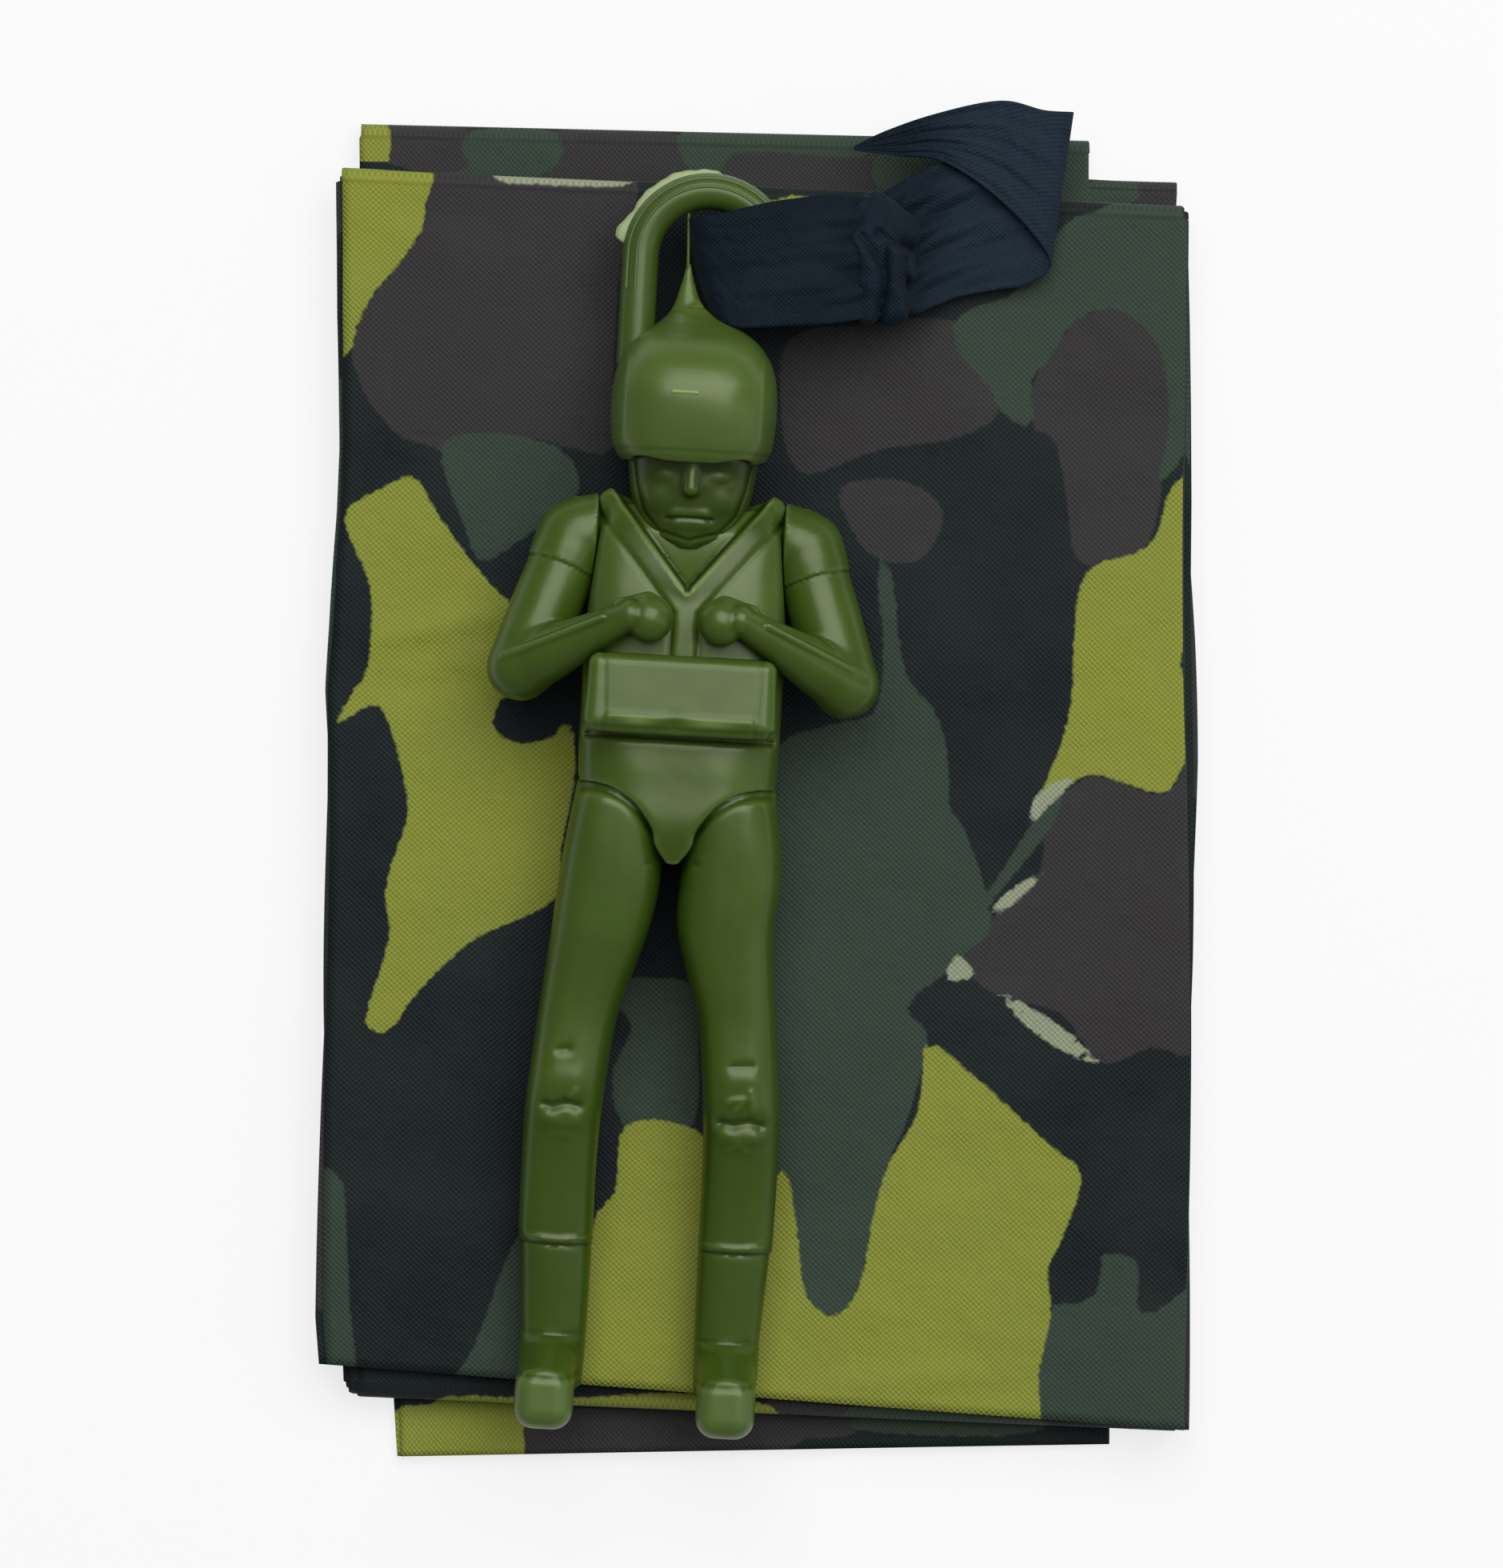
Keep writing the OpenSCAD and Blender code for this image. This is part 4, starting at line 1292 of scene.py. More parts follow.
@dataclass
class Growth:
    """A tree of Geometry Nodes with named inputs."""

    name: str
    tree: bpy.types.NodeTree = field(init=False)
    source: bpy.types.Node = field(init=False)
    sockets: dict[str, str] = field(default_factory=dict)

    def __post_init__(self) -> None:
        """Start the tree with a geometry input and output."""
        self.tree = bpy.data.node_groups.new(self.name, "GeometryNodeTree")
        self.tree.interface.new_socket("Geometry", in_out="INPUT", socket_type="NodeSocketGeometry")
        self.tree.interface.new_socket("Geometry", in_out="OUTPUT", socket_type="NodeSocketGeometry")
        self.source = self.tree.nodes.new("NodeGroupInput")

    def size(self, name: str, value: float) -> bpy.types.NodeSocket:
        """Add a named size.

        Args:
            name: Name of the input.
            value: Its value.

        Returns:
            The socket inside the tree that gives the size.
        """
        made = self.tree.interface.new_socket(name, in_out="INPUT", socket_type="NodeSocketFloat")
        made.default_value = value
        self.sockets[name] = made.identifier
        return self.source.outputs[name]

    def node(self, kind: str, settings: dict[str, Any] | None = None,
             inputs: dict[Any, Any] | None = None) -> bpy.types.Node:
        """Add a node to the tree."""
        return add_node(self.tree, kind, settings, inputs)

    def grow(self, guide: bpy.types.Object, values: dict[str, float], shape: bpy.types.NodeSocket,
             material: bpy.types.Material, name: str) -> bpy.types.Object:
        """Finish the tree, run it on a guide and keep the plain mesh.

        Args:
            guide: Object that carries the path.
            values: Values of the named inputs.
            shape: What the tree makes.
            material: The finish.
            name: Name of the piece.

        Returns:
            The finished piece; the guide is removed.
        """
        real = self.node("GeometryNodeRealizeInstances", {}, {0: shape})
        dressed = self.node("GeometryNodeSetMaterial", {},
                            {"Geometry": real.outputs[0], "Material": material})
        self.node("NodeGroupOutput", {}, {0: dressed.outputs[0]})
        modifier = guide.modifiers.new(self.name, "NODES")
        modifier.node_group = self.tree
        for word, value in values.items():
            modifier[self.sockets[word]] = value
        mesh = plain_mesh(guide)
        bpy.data.objects.remove(guide, do_unlink=True)
        mesh.name = name
        mesh.shade_smooth()
        return show(name, mesh)


def path_guide(name: str, points: Array, radii: Array) -> bpy.types.Object:
    """A curve that a tree of nodes follows.

    Args:
        name: Name of the guide.
        points: Its points in metres in the row frame.
        radii: Share of the full radius at each point.

    Returns:
        The curve object.
    """
    data = bpy.data.curves.new(name, "CURVE")
    data.dimensions = "3D"
    spline = data.splines.new("POLY")
    spline.points.add(len(points) - 1)
    for point, place, radius in zip(spline.points, points, radii):
        point.co = (*place, 1)
        point.radius = radius
    return show(name, data)


@dataclass
class Hook:
    """The crook that the canopy hangs from, with the moulding's ridges and flash.

    A bead has its offset outwards and its radius. A step of the flash has its share of the height
    and its half thickness.
    """

    bend: Point2 = (0.15, 47.8)
    bend_radius: float = 5.35
    bar: float = 2.9
    root: float = 2.5
    foot_y: float = 39.2
    end: float = 2.6
    beads: tuple[Point2, ...] = ((0.98, 0.2), (0.3, 0.16))
    flash_from: float = 84.0
    flash_sweep: float = 88.0
    # The next number makes the flash pale, a painted highlight on its rim.
    flash_highlight: float = 17.0
    flash_steps: tuple[Point2, ...] = ((-0.3, 0.17), (0.02, 0.14), (0.6, 0.08), (1.0, 0.04))
    thread_radius: float = 0.14

    def path(self, outward: float = 0.0, forward: float = 0.0) -> tuple[Array, Array]:
        """The way along the bar from the helmet to the end.

        Args:
            outward: Offset from the middle of the bar to the outside of the bend.
            forward: Offset to the front.

        Returns:
            Points in the figure frame and the share of the full radius at each.
        """
        x, y = self.bend
        reach = self.bend_radius + outward
        points, radii = [], []
        for share in np.linspace(0, 1, 14)[:-1]:
            points.append((x - reach, self.foot_y + share * (y - self.foot_y), forward))
            radii.append((self.root + (self.bar - self.root) * share) / self.bar)
        for angle in np.radians(np.linspace(180, 0, 49)):
            points.append((x + reach * math.cos(angle), y + reach * math.sin(angle), forward))
            radii.append(1 + 0.06 * math.sin(angle))
        for share in np.linspace(0, 1, 7)[1:]:
            points.append((x + reach, y - share * self.end, forward))
            radii.append(1)
        for angle in np.radians(np.linspace(0, 86, 9)[1:]):
            tip = y - self.end - self.bar / 2 * math.sin(angle)
            points.append((x + reach, tip, forward * math.cos(angle)))
            radii.append(math.cos(angle))
        return np.array(points), np.array(radii)

    def sweep(self, name: str, radius: float, points: Array, radii: Array,
              finish: bpy.types.Material) -> bpy.types.Object:
        """Sweep a round bar along a path of points in the figure frame."""
        growth = Growth(f"{name}_sweep")
        size = growth.size("Bar radius", 1.0)
        circle = growth.node("GeometryNodeCurvePrimitiveCircle", {}, {"Resolution": 32, "Radius": size})
        bar = growth.node("GeometryNodeCurveToMesh", {}, {
            "Curve": growth.source.outputs[0], "Profile Curve": circle.outputs[0], "Fill Caps": True})
        guide = path_guide(f"{name}_path", (points + FIGURE_PLACE) * MM, radii)
        return growth.grow(guide, {"Bar radius": radius * MM}, bar.outputs[0], finish, name)

    def build(self, finish: bpy.types.Material) -> None:
        """Sweep the bar, its ridges and its flash, and seat them."""
        points, radii = self.path()
        made = self.sweep("hook_bar", self.bar / 2, points, radii, finish)
        seat(made, "torso", Slot.HOOK, "suspension_hook")
        for index, (outward, radius) in enumerate(self.beads):
            forward = math.sqrt((self.bar / 2) ** 2 - outward ** 2) - radius * 0.6
            points, radii = self.path(outward, forward)
            points, radii = points[9:-5], np.minimum(radii[9:-5], 1)
            bead = self.sweep(f"hook_ridge_{index + 1}", radius, points, radii, finish)
            seat(bead, "torso", Slot.HOOK)
        self.flash(finish)
        self.thread(finish)

    def thread(self, finish: bpy.types.Material) -> None:
        """The thin film of plastic from the helmet's sprue to the inside of the bend."""
        shares = np.linspace(0, 1, 12)
        points = np.stack([-1.38 - 0.2 * shares, 46.6 + 5.0 * shares, np.full_like(shares, 0.1)], axis=1)
        radii = 1 - 0.25 * np.sin(shares * math.pi) + 1.4 * smooth_step(0.9, 1, shares)
        seat(self.sweep("hook_thread", self.thread_radius, points, radii, finish), "torso", Slot.HOOK)

    def flash(self, finish: bpy.types.Material) -> None:
        """A thin fin of plastic that the mould left along the outside of the bend, coloured pale as a painted
        highlight along its rim.
        """
        shares = np.linspace(0, 1, 60)
        angles = np.radians(self.flash_from + self.flash_sweep * shares)
        rise = 0.46 * np.sin(math.pi * np.minimum(shares * 1.2, 1) * 0.94) ** 0.6
        hook = 0.62 * smooth_step(0.72, 0.95, shares) * (1 - smooth_step(0.97, 1.0, shares))
        height = rise + hook + 0.05 * np.sin(shares * 23) + 0.03 * np.sin(shares * 57)
        base = self.bend_radius + self.bar / 2
        rows = []
        for reach, half in self.flash_steps:
            radius = base + (reach if reach < 0.1 else reach * height)
            x, y = self.bend[0] + radius * np.cos(angles), self.bend[1] + radius * np.sin(angles)
            rows += [np.stack([x, y, np.full_like(angles, side * half)], axis=1) for side in (-1, 1)]
        points = np.stack(rows, axis=1).reshape(-1, 3) + FIGURE_PLACE
        ring = [0, 2, 4, 6, 7, 5, 3, 1]
        count = len(ring)
        last = len(points) - count
        faces = [(low + a, low + count + a, low + count + b, low + b) for low in range(0, last, count)
                 for a, b in zip(ring, ring[1:] + ring[:1])]
        faces += [tuple(low + place for place in quad) for low in (0, last)
                  for quad in ((0, 1, 3, 2), (2, 3, 5, 4), (4, 5, 7, 6))]
        # The fin is coloured pale as a painted highlight.
        tone = {"relief": np.full(len(points), self.flash_highlight)}
        made = Sheet(points, np.array(faces), tone).piece("hook_flash", finish)
        outwards(made)
        seat(made, "torso", Slot.HOOK)


def outwards(piece: bpy.types.Object) -> None:
    """Turn a closed mesh's faces outwards."""
    shape = bmesh.new()
    shape.from_mesh(piece.data)
    bmesh.ops.remove_doubles(shape, verts=shape.verts, dist=1e-7)
    bmesh.ops.recalc_face_normals(shape, faces=shape.faces)
    shape.to_mesh(piece.data)
    shape.free()


# Soft goods


def lattice(columns: int, rows: int) -> Array:
    """Faces of a grid of points that are numbered row by row.

    Args:
        columns: Points in a row.
        rows: Number of rows.

    Returns:
        Faces of four points.
    """
    index = np.arange(rows * columns).reshape(rows, columns)
    quads = [index[:-1, :-1], index[:-1, 1:], index[1:, 1:], index[1:, :-1]]
    return np.stack(quads, axis=-1).reshape(-1, 4)


def ripple(x: Array, y: Array, seed: int, wave: float) -> Array:
    """Smooth noise from waves in many directions.

    Args:
        x: First coordinate.
        y: Second coordinate.
        seed: Seed of the waves.
        wave: Mean wavelength, in the coordinates' unit.

    Returns:
        Noise with a spread of about 1.
    """
    random = np.random.default_rng(seed)
    total = np.zeros(np.broadcast(x, y).shape)
    count = 14
    for _ in range(count):
        turn = random.uniform(0, 2 * math.pi)
        length = wave * random.uniform(0.6, 1.9)
        phase = random.uniform(0, 2 * math.pi)
        total += np.sin(2 * math.pi * (x * math.cos(turn) + y * math.sin(turn)) / length + phase)
    return total / math.sqrt(count / 2)


def blob(x: Array, y: Array, outline: Sequence[Point2]) -> Array:
    """Distance inside a smooth closed outline, negative outside it.

    Args:
        x: First coordinate in mm.
        y: Second coordinate in mm.
        outline: Corner points of the outline in order.

    Returns:
        The signed distance in mm.
    """
    ring = list(outline)
    loop = curve([ring[-1], *ring, ring[0], ring[1]], 4)
    points = np.array(loop[4:-4])
    gap = np.full(x.shape, 1e9)
    crossings = np.zeros(x.shape, dtype=bool)
    for (ax, ay), (bx, by) in zip(points, points[1:]):
        wx, wy = bx - ax, by - ay
        if wx == 0 and wy == 0:
            continue
        share = np.clip(((x - ax) * wx + (y - ay) * wy) / (wx * wx + wy * wy), 0, 1)
        gap = np.minimum(gap, (x - ax - share * wx) ** 2 + (y - ay - share * wy) ** 2)
        if ay != by:
            crossings ^= ((ay > y) != (by > y)) & (x < wx * (y - ay) / wy + ax)
    gap = np.sqrt(gap)
    return np.where(crossings, gap, -gap)


@dataclass
class Canopy:
    """The square cloth, folded in six across and in four along, as one continuous sheet.

    A bundle is the cloth folded in six. Four bundles lie on each other, each joined to the next
    by a fold at the head or at the foot. Lines and sides are in the row frame. A colour of the
    hidden layers has the seed, wavelength, gain and base of its pattern.
    """

    flat: float = 400.0
    panels: int = 6
    bundles: int = 4
    bundle: float = 1.25
    gap: float = 0.1
    thickness: float = 0.08
    ends: tuple[tuple[Point2, Point2], ...] = (
        ((-25.3, -54.5), (30.2, -50.4)),
        ((-34.6, 51.5), (23.6, 53.4)),
        ((-29.7, -49.9), (35.5, -49.0)),
        ((-35.5, 47.8), (31.0, 48.5)),
        ((-31.8, -47.3), (36.5, -48.7)),
    )
    left_sides: tuple[tuple[Point2, ...], ...] = (
        ((-54.5, -25.5), (-20, -29.0), (20, -33.0), (51.5, -34.6)),
        ((-49.9, -29.6), (-20, -31.6), (20, -33.4), (47, -34.3), (51.5, -34.6)),
        ((-49.9, -29.8), (-20, -32.0), (0, -33.4), (25, -33.8), (47.4, -35.6)),
        ((-47.3, -31.8), (-43.6, -32.3), (-21.5, -33.2), (-2.5, -34.0), (6.3, -34.6), (11.4, -34.4),
         (20.3, -34.2), (25.4, -34.3), (36, -35.1), (47.4, -35.7)),
    )
    right_sides: tuple[tuple[Point2, ...], ...] = (
        ((-50.4, 30.2), (-10, 28.0), (30, 25.0), (53.4, 23.6)),
        ((-49, 35.5), (-10, 34.4), (30, 31.2), (44, 30.0), (48, 24.0), (53.4, 23.6)),
        ((-49, 35.5), (-10, 34.6), (20, 33.0), (48.3, 31.0)),
        ((-48.7, 36.6), (-30.3, 35.8), (-11.3, 35.1), (4.5, 34.4), (14, 33.7), (26.6, 32.6), (40, 31.6),
         (48.3, 31.1)),
    )
    step_side: float = 30.2
    step_drop: float = 2.5
    top_steps: int = 86
    foot_steps: int = 50
    panel_steps: int = 14
    top_row_steps: int = 124
    row_steps: int = 18
    panel_turns: tuple[float, ...] = (36, 72, 108, 144)
    bundle_turns: tuple[float, ...] = (15, 40, 65, 90, 115, 140, 165)
    hidden_prints: tuple[tuple[str, int, float, float, float], ...] = (
        ("brown", 31, 46, 9, -2.5), ("grey", 32, 40, 8, -5), ("lime", 33, 44, 8, -8.5),
        ("pale", 34, 30, 2, -9))
    unprinted: float = -60.0

    @property
    def pitch(self) -> float:
        """Height of one layer of cloth."""
        return self.bundle / self.panels

    @staticmethod
    def spread(count: int, crowd: float) -> Array:
        """Shares from 0 to 1 that lie closer together at both ends."""
        even = np.linspace(0, 1, count)
        return even - crowd * np.sin(2 * math.pi * even) / (2 * math.pi)

    def columns(self) -> dict[str, Array]:
        """Columns across the six panels.

        Returns:
            Share across the panel, height in the bundle, side step at a fold, panel and flat
            coordinate of each column.
        """
        made: list[Row] = []
        width, half = self.flat / self.panels, self.pitch / 2
        for place in range(self.panels):
            steps = {0: self.top_steps, self.panels - 1: self.foot_steps}.get(place, self.panel_steps)
            way = 1 if place % 2 == 0 else -1
            for share in self.spread(steps, 0.0 if place == 0 else 0.6):
                across = share if way == 1 else 1 - share
                made.append((across, (place + 0.5) * self.pitch, 0, place, (place + share) * width))
            if place < self.panels - 1:
                for angle in np.radians(self.panel_turns):
                    height = (place + 1) * self.pitch - half * math.cos(angle)
                    made.append(((1 + way) / 2, height, way * self.pitch / 2 * math.sin(angle),
                                 place + 0.5, (place + 1) * width))
        table = np.array(made, dtype=float)
        return dict(zip(("across", "height", "bulge", "panel", "flat"), table.T))

    def rows(self) -> list[tuple[int, float, float]]:
        """Rows along the bundles, as bundle, share along it and angle in the fold after it."""
        made = []
        top = self.bundles - 1
        for level in range(self.bundles):
            shares = self.spread(self.top_row_steps, 0) if level == top else self.spread(self.row_steps, 0.93)
            made += [(level, float(share), 0.0) for share in shares]
            if level < top:
                made += [(level, 1.0, math.radians(angle)) for angle in self.bundle_turns]
        return made

    @staticmethod
    def side(table: Sequence[Point2], y: Array) -> Array:
        """X of a bundle's side at each height."""
        given = np.array(table)
        return np.interp(y, given[:, 0], given[:, 1])

    def row(self, columns: dict[str, Array], level: int, share: float, angle: float) -> Array:
        """Points of one row of the cloth.

        Args:
            columns: The columns across.
            level: Bundle from the bottom.
            share: Share along the bundle.
            angle: Angle in the fold after the bundle, or 0.

        Returns:
            A point for each column.
        """
        across, panel = columns["across"], columns["panel"]
        upward = 1 if level % 2 == 0 else -1
        turn = self.bundle + self.gap / 2
        inner = smooth_step(1.4, 1.6, panel) * smooth_step(0.3, 0.95, across) * self.step_drop
        lines = []
        for line in (level, level + 1):
            start, end = self.ends[line]
            y = start[1] + (end[1] - start[1]) * across
            lines.append(y - inner if line == 1 else y)
        from_y = lines[0] + upward * (turn if level > 0 else 0)
        to_y = lines[1] - upward * (turn if level < self.bundles - 1 else 0)
        y = from_y + (to_y - from_y) * share
        base = level * (self.bundle + self.gap)
        centre = base + self.bundle + self.gap / 2
        height = columns["height"]
        z = base + (height if level % 2 == 0 else self.bundle - height)
        if angle:
            radius = centre - z
            y = y + upward * radius * math.sin(angle)
            z = centre - radius * math.cos(angle)
        later = level + 1 if angle > math.pi / 2 else level
        left = self.side(self.left_sides[later], y)
        right = self.side(self.right_sides[later], y)
        if later < 2:
            short = np.maximum(self.step_side - right, 0) * smooth_step(1.4, 1.6, panel)
            right = right + short * (y > 40)
        x = left + (right - left) * across + columns["bulge"] + self.wander(columns, y, level)
        return np.stack([x, y, z], axis=1)

    def wander(self, columns: dict[str, Array], y: Array, level: int) -> Array:
        """How far each fold line strays sideways, so that the layers show as steps."""
        across, panel = columns["across"], columns["panel"]
        stray = np.zeros_like(y)
        for line in range(-1, self.panels):
            own = np.full_like(y, line * 37.0 + level * 11)
            amount = (0.12 if line == -1 else 0.34) * ripple(y, own, 50 + line, 60)
            pull = smooth_step(0.6, 1, 1 - across if line % 2 else across)
            beside = (np.abs(panel - line) < 0.25) | (np.abs(panel - line - 1) < 0.25)
            stray += np.where(beside, amount * pull, 0)
            stray += np.where(np.abs(panel - line - 0.5) < 0.25, amount, 0)
        return stray

    def rumple(self, points: Array) -> None:
        """Raise and sink the cloth a little, more in its upper layers, and add its few wrinkles."""
        x, y, z = points[..., 0], points[..., 1], points[..., 2]
        share = np.clip(z / 5.3, 0, 1)
        soft = 0.1 * ripple(x, y, 4, 22) + 0.05 * ripple(x, y, 9, 8)
        edge = bell(np.abs(x - 0.5) - 34, 6) + bell(np.abs(y) - 48, 7)
        lift = 0.12 * ripple(x, y, 21, 30) * edge
        for (ax, ay), (bx, by), width, rise in WRINKLES:
            way = np.array([bx - ax, by - ay])
            along = np.clip(((x - ax) * way[0] + (y - ay) * way[1]) / (way @ way), 0, 1)
            gap = np.hypot(x - ax - along * way[0], y - ay - along * way[1])
            lift = lift + rise * bell(gap, width) * np.sin(math.pi * (0.15 + 0.7 * along))
        points[..., 2] = z + share ** 2 * (soft + lift - 0.1)

    def prints(self, points: Array, flat: Array, level: Array, panel: Array) -> dict[str, Array]:
        """Signed distance to each printed colour at each point.

        The top panel and the margins that show round it have their own outlines, and the hidden
        layers have a seeded pattern of the same kind.
        """
        x, y = points[..., 0], points[..., 1]
        u, v = flat[..., 0], flat[..., 1]
        top = (level > 2.6) & (panel < 0.4)
        margin = ~top & (level < 2.6) & (np.abs(y) > 46.5)
        found = {}
        for word, seed, wave, gain, base in self.hidden_prints:
            value = ripple(u, v, seed, wave) * gain + base
            if word == "lime":
                value = np.where(np.abs(x - 0.5) > 30, self.unprinted, value)
            for zone, outlines in ((top, TOP_PRINTS[word]), (margin, MARGIN_PRINTS[word])):
                drawn = np.full(x[zone].shape, self.unprinted)
                for outline in outlines:
                    drawn = np.maximum(drawn, blob(x[zone], y[zone], outline))
                value[zone] = drawn
            found[word] = value
        return found

    def build(self, finish: bpy.types.Material) -> None:
        """Fold the cloth and seat it."""
        columns, rows = self.columns(), self.rows()
        points = np.stack([self.row(columns, *row) for row in rows])
        length = self.flat / self.bundles
        along = np.array([(level + share) * length + angle * 0.4 for level, share, angle in rows])
        flat = np.stack(np.broadcast_arrays(columns["flat"][None, :], along[:, None]), axis=-1)
        self.rumple(points)
        place = np.array([level + angle / math.pi for level, _, angle in rows])
        level, panel = np.broadcast_arrays(place[:, None], columns["panel"][None, :])
        numbers = {word: value.ravel() for word, value in self.prints(points, flat, level, panel).items()}
        grid = lattice(points.shape[1], len(rows))[:, ::-1]
        made = Sheet(points.reshape(-1, 3), grid, numbers, flat.reshape(-1, 2)).piece(
            "canopy_cloth_folded", finish)
        thicken(made, self.thickness)
        seat(made, "canopy", Slot.CANOPY, "canopy")
        self.flat * MM
        self.flat * MM


def thicken(piece: bpy.types.Object, thickness: float) -> None:
    """Give an open sheet its thickness in mm, evenly on both sides."""
    modifier = piece.modifiers.new("thickness", "SOLIDIFY")
    modifier.thickness = thickness * MM
    modifier.offset = 0
    mesh = plain_mesh(piece)
    piece.modifiers.clear()
    piece.data = mesh


# A wrinkle has its start, its end, its width and its rise.
Wrinkle = tuple[Point2, Point2, float, float]
WRINKLES: tuple[Wrinkle, ...] = (
    ((-32.0, 10.2), (-19.0, 13.5), 1.0, 0.45), ((-31.0, 6.5), (-18.5, 8.0), 0.9, -0.3),
    ((-35.0, 44.0), (-22.0, 40.0), 1.4, 0.22), ((16.0, -12.0), (28.0, -4.0), 1.1, 0.22),
    ((-24.0, -42.0), (-19.0, -24.0), 1.1, 0.22), ((9.0, -46.5), (22.0, -45.0), 0.9, 0.25),
    ((26.0, 12.0), (34.0, 20.0), 1.3, 0.22), ((8.5, 6.0), (8.8, 20.5), 0.8, 0.25),
)
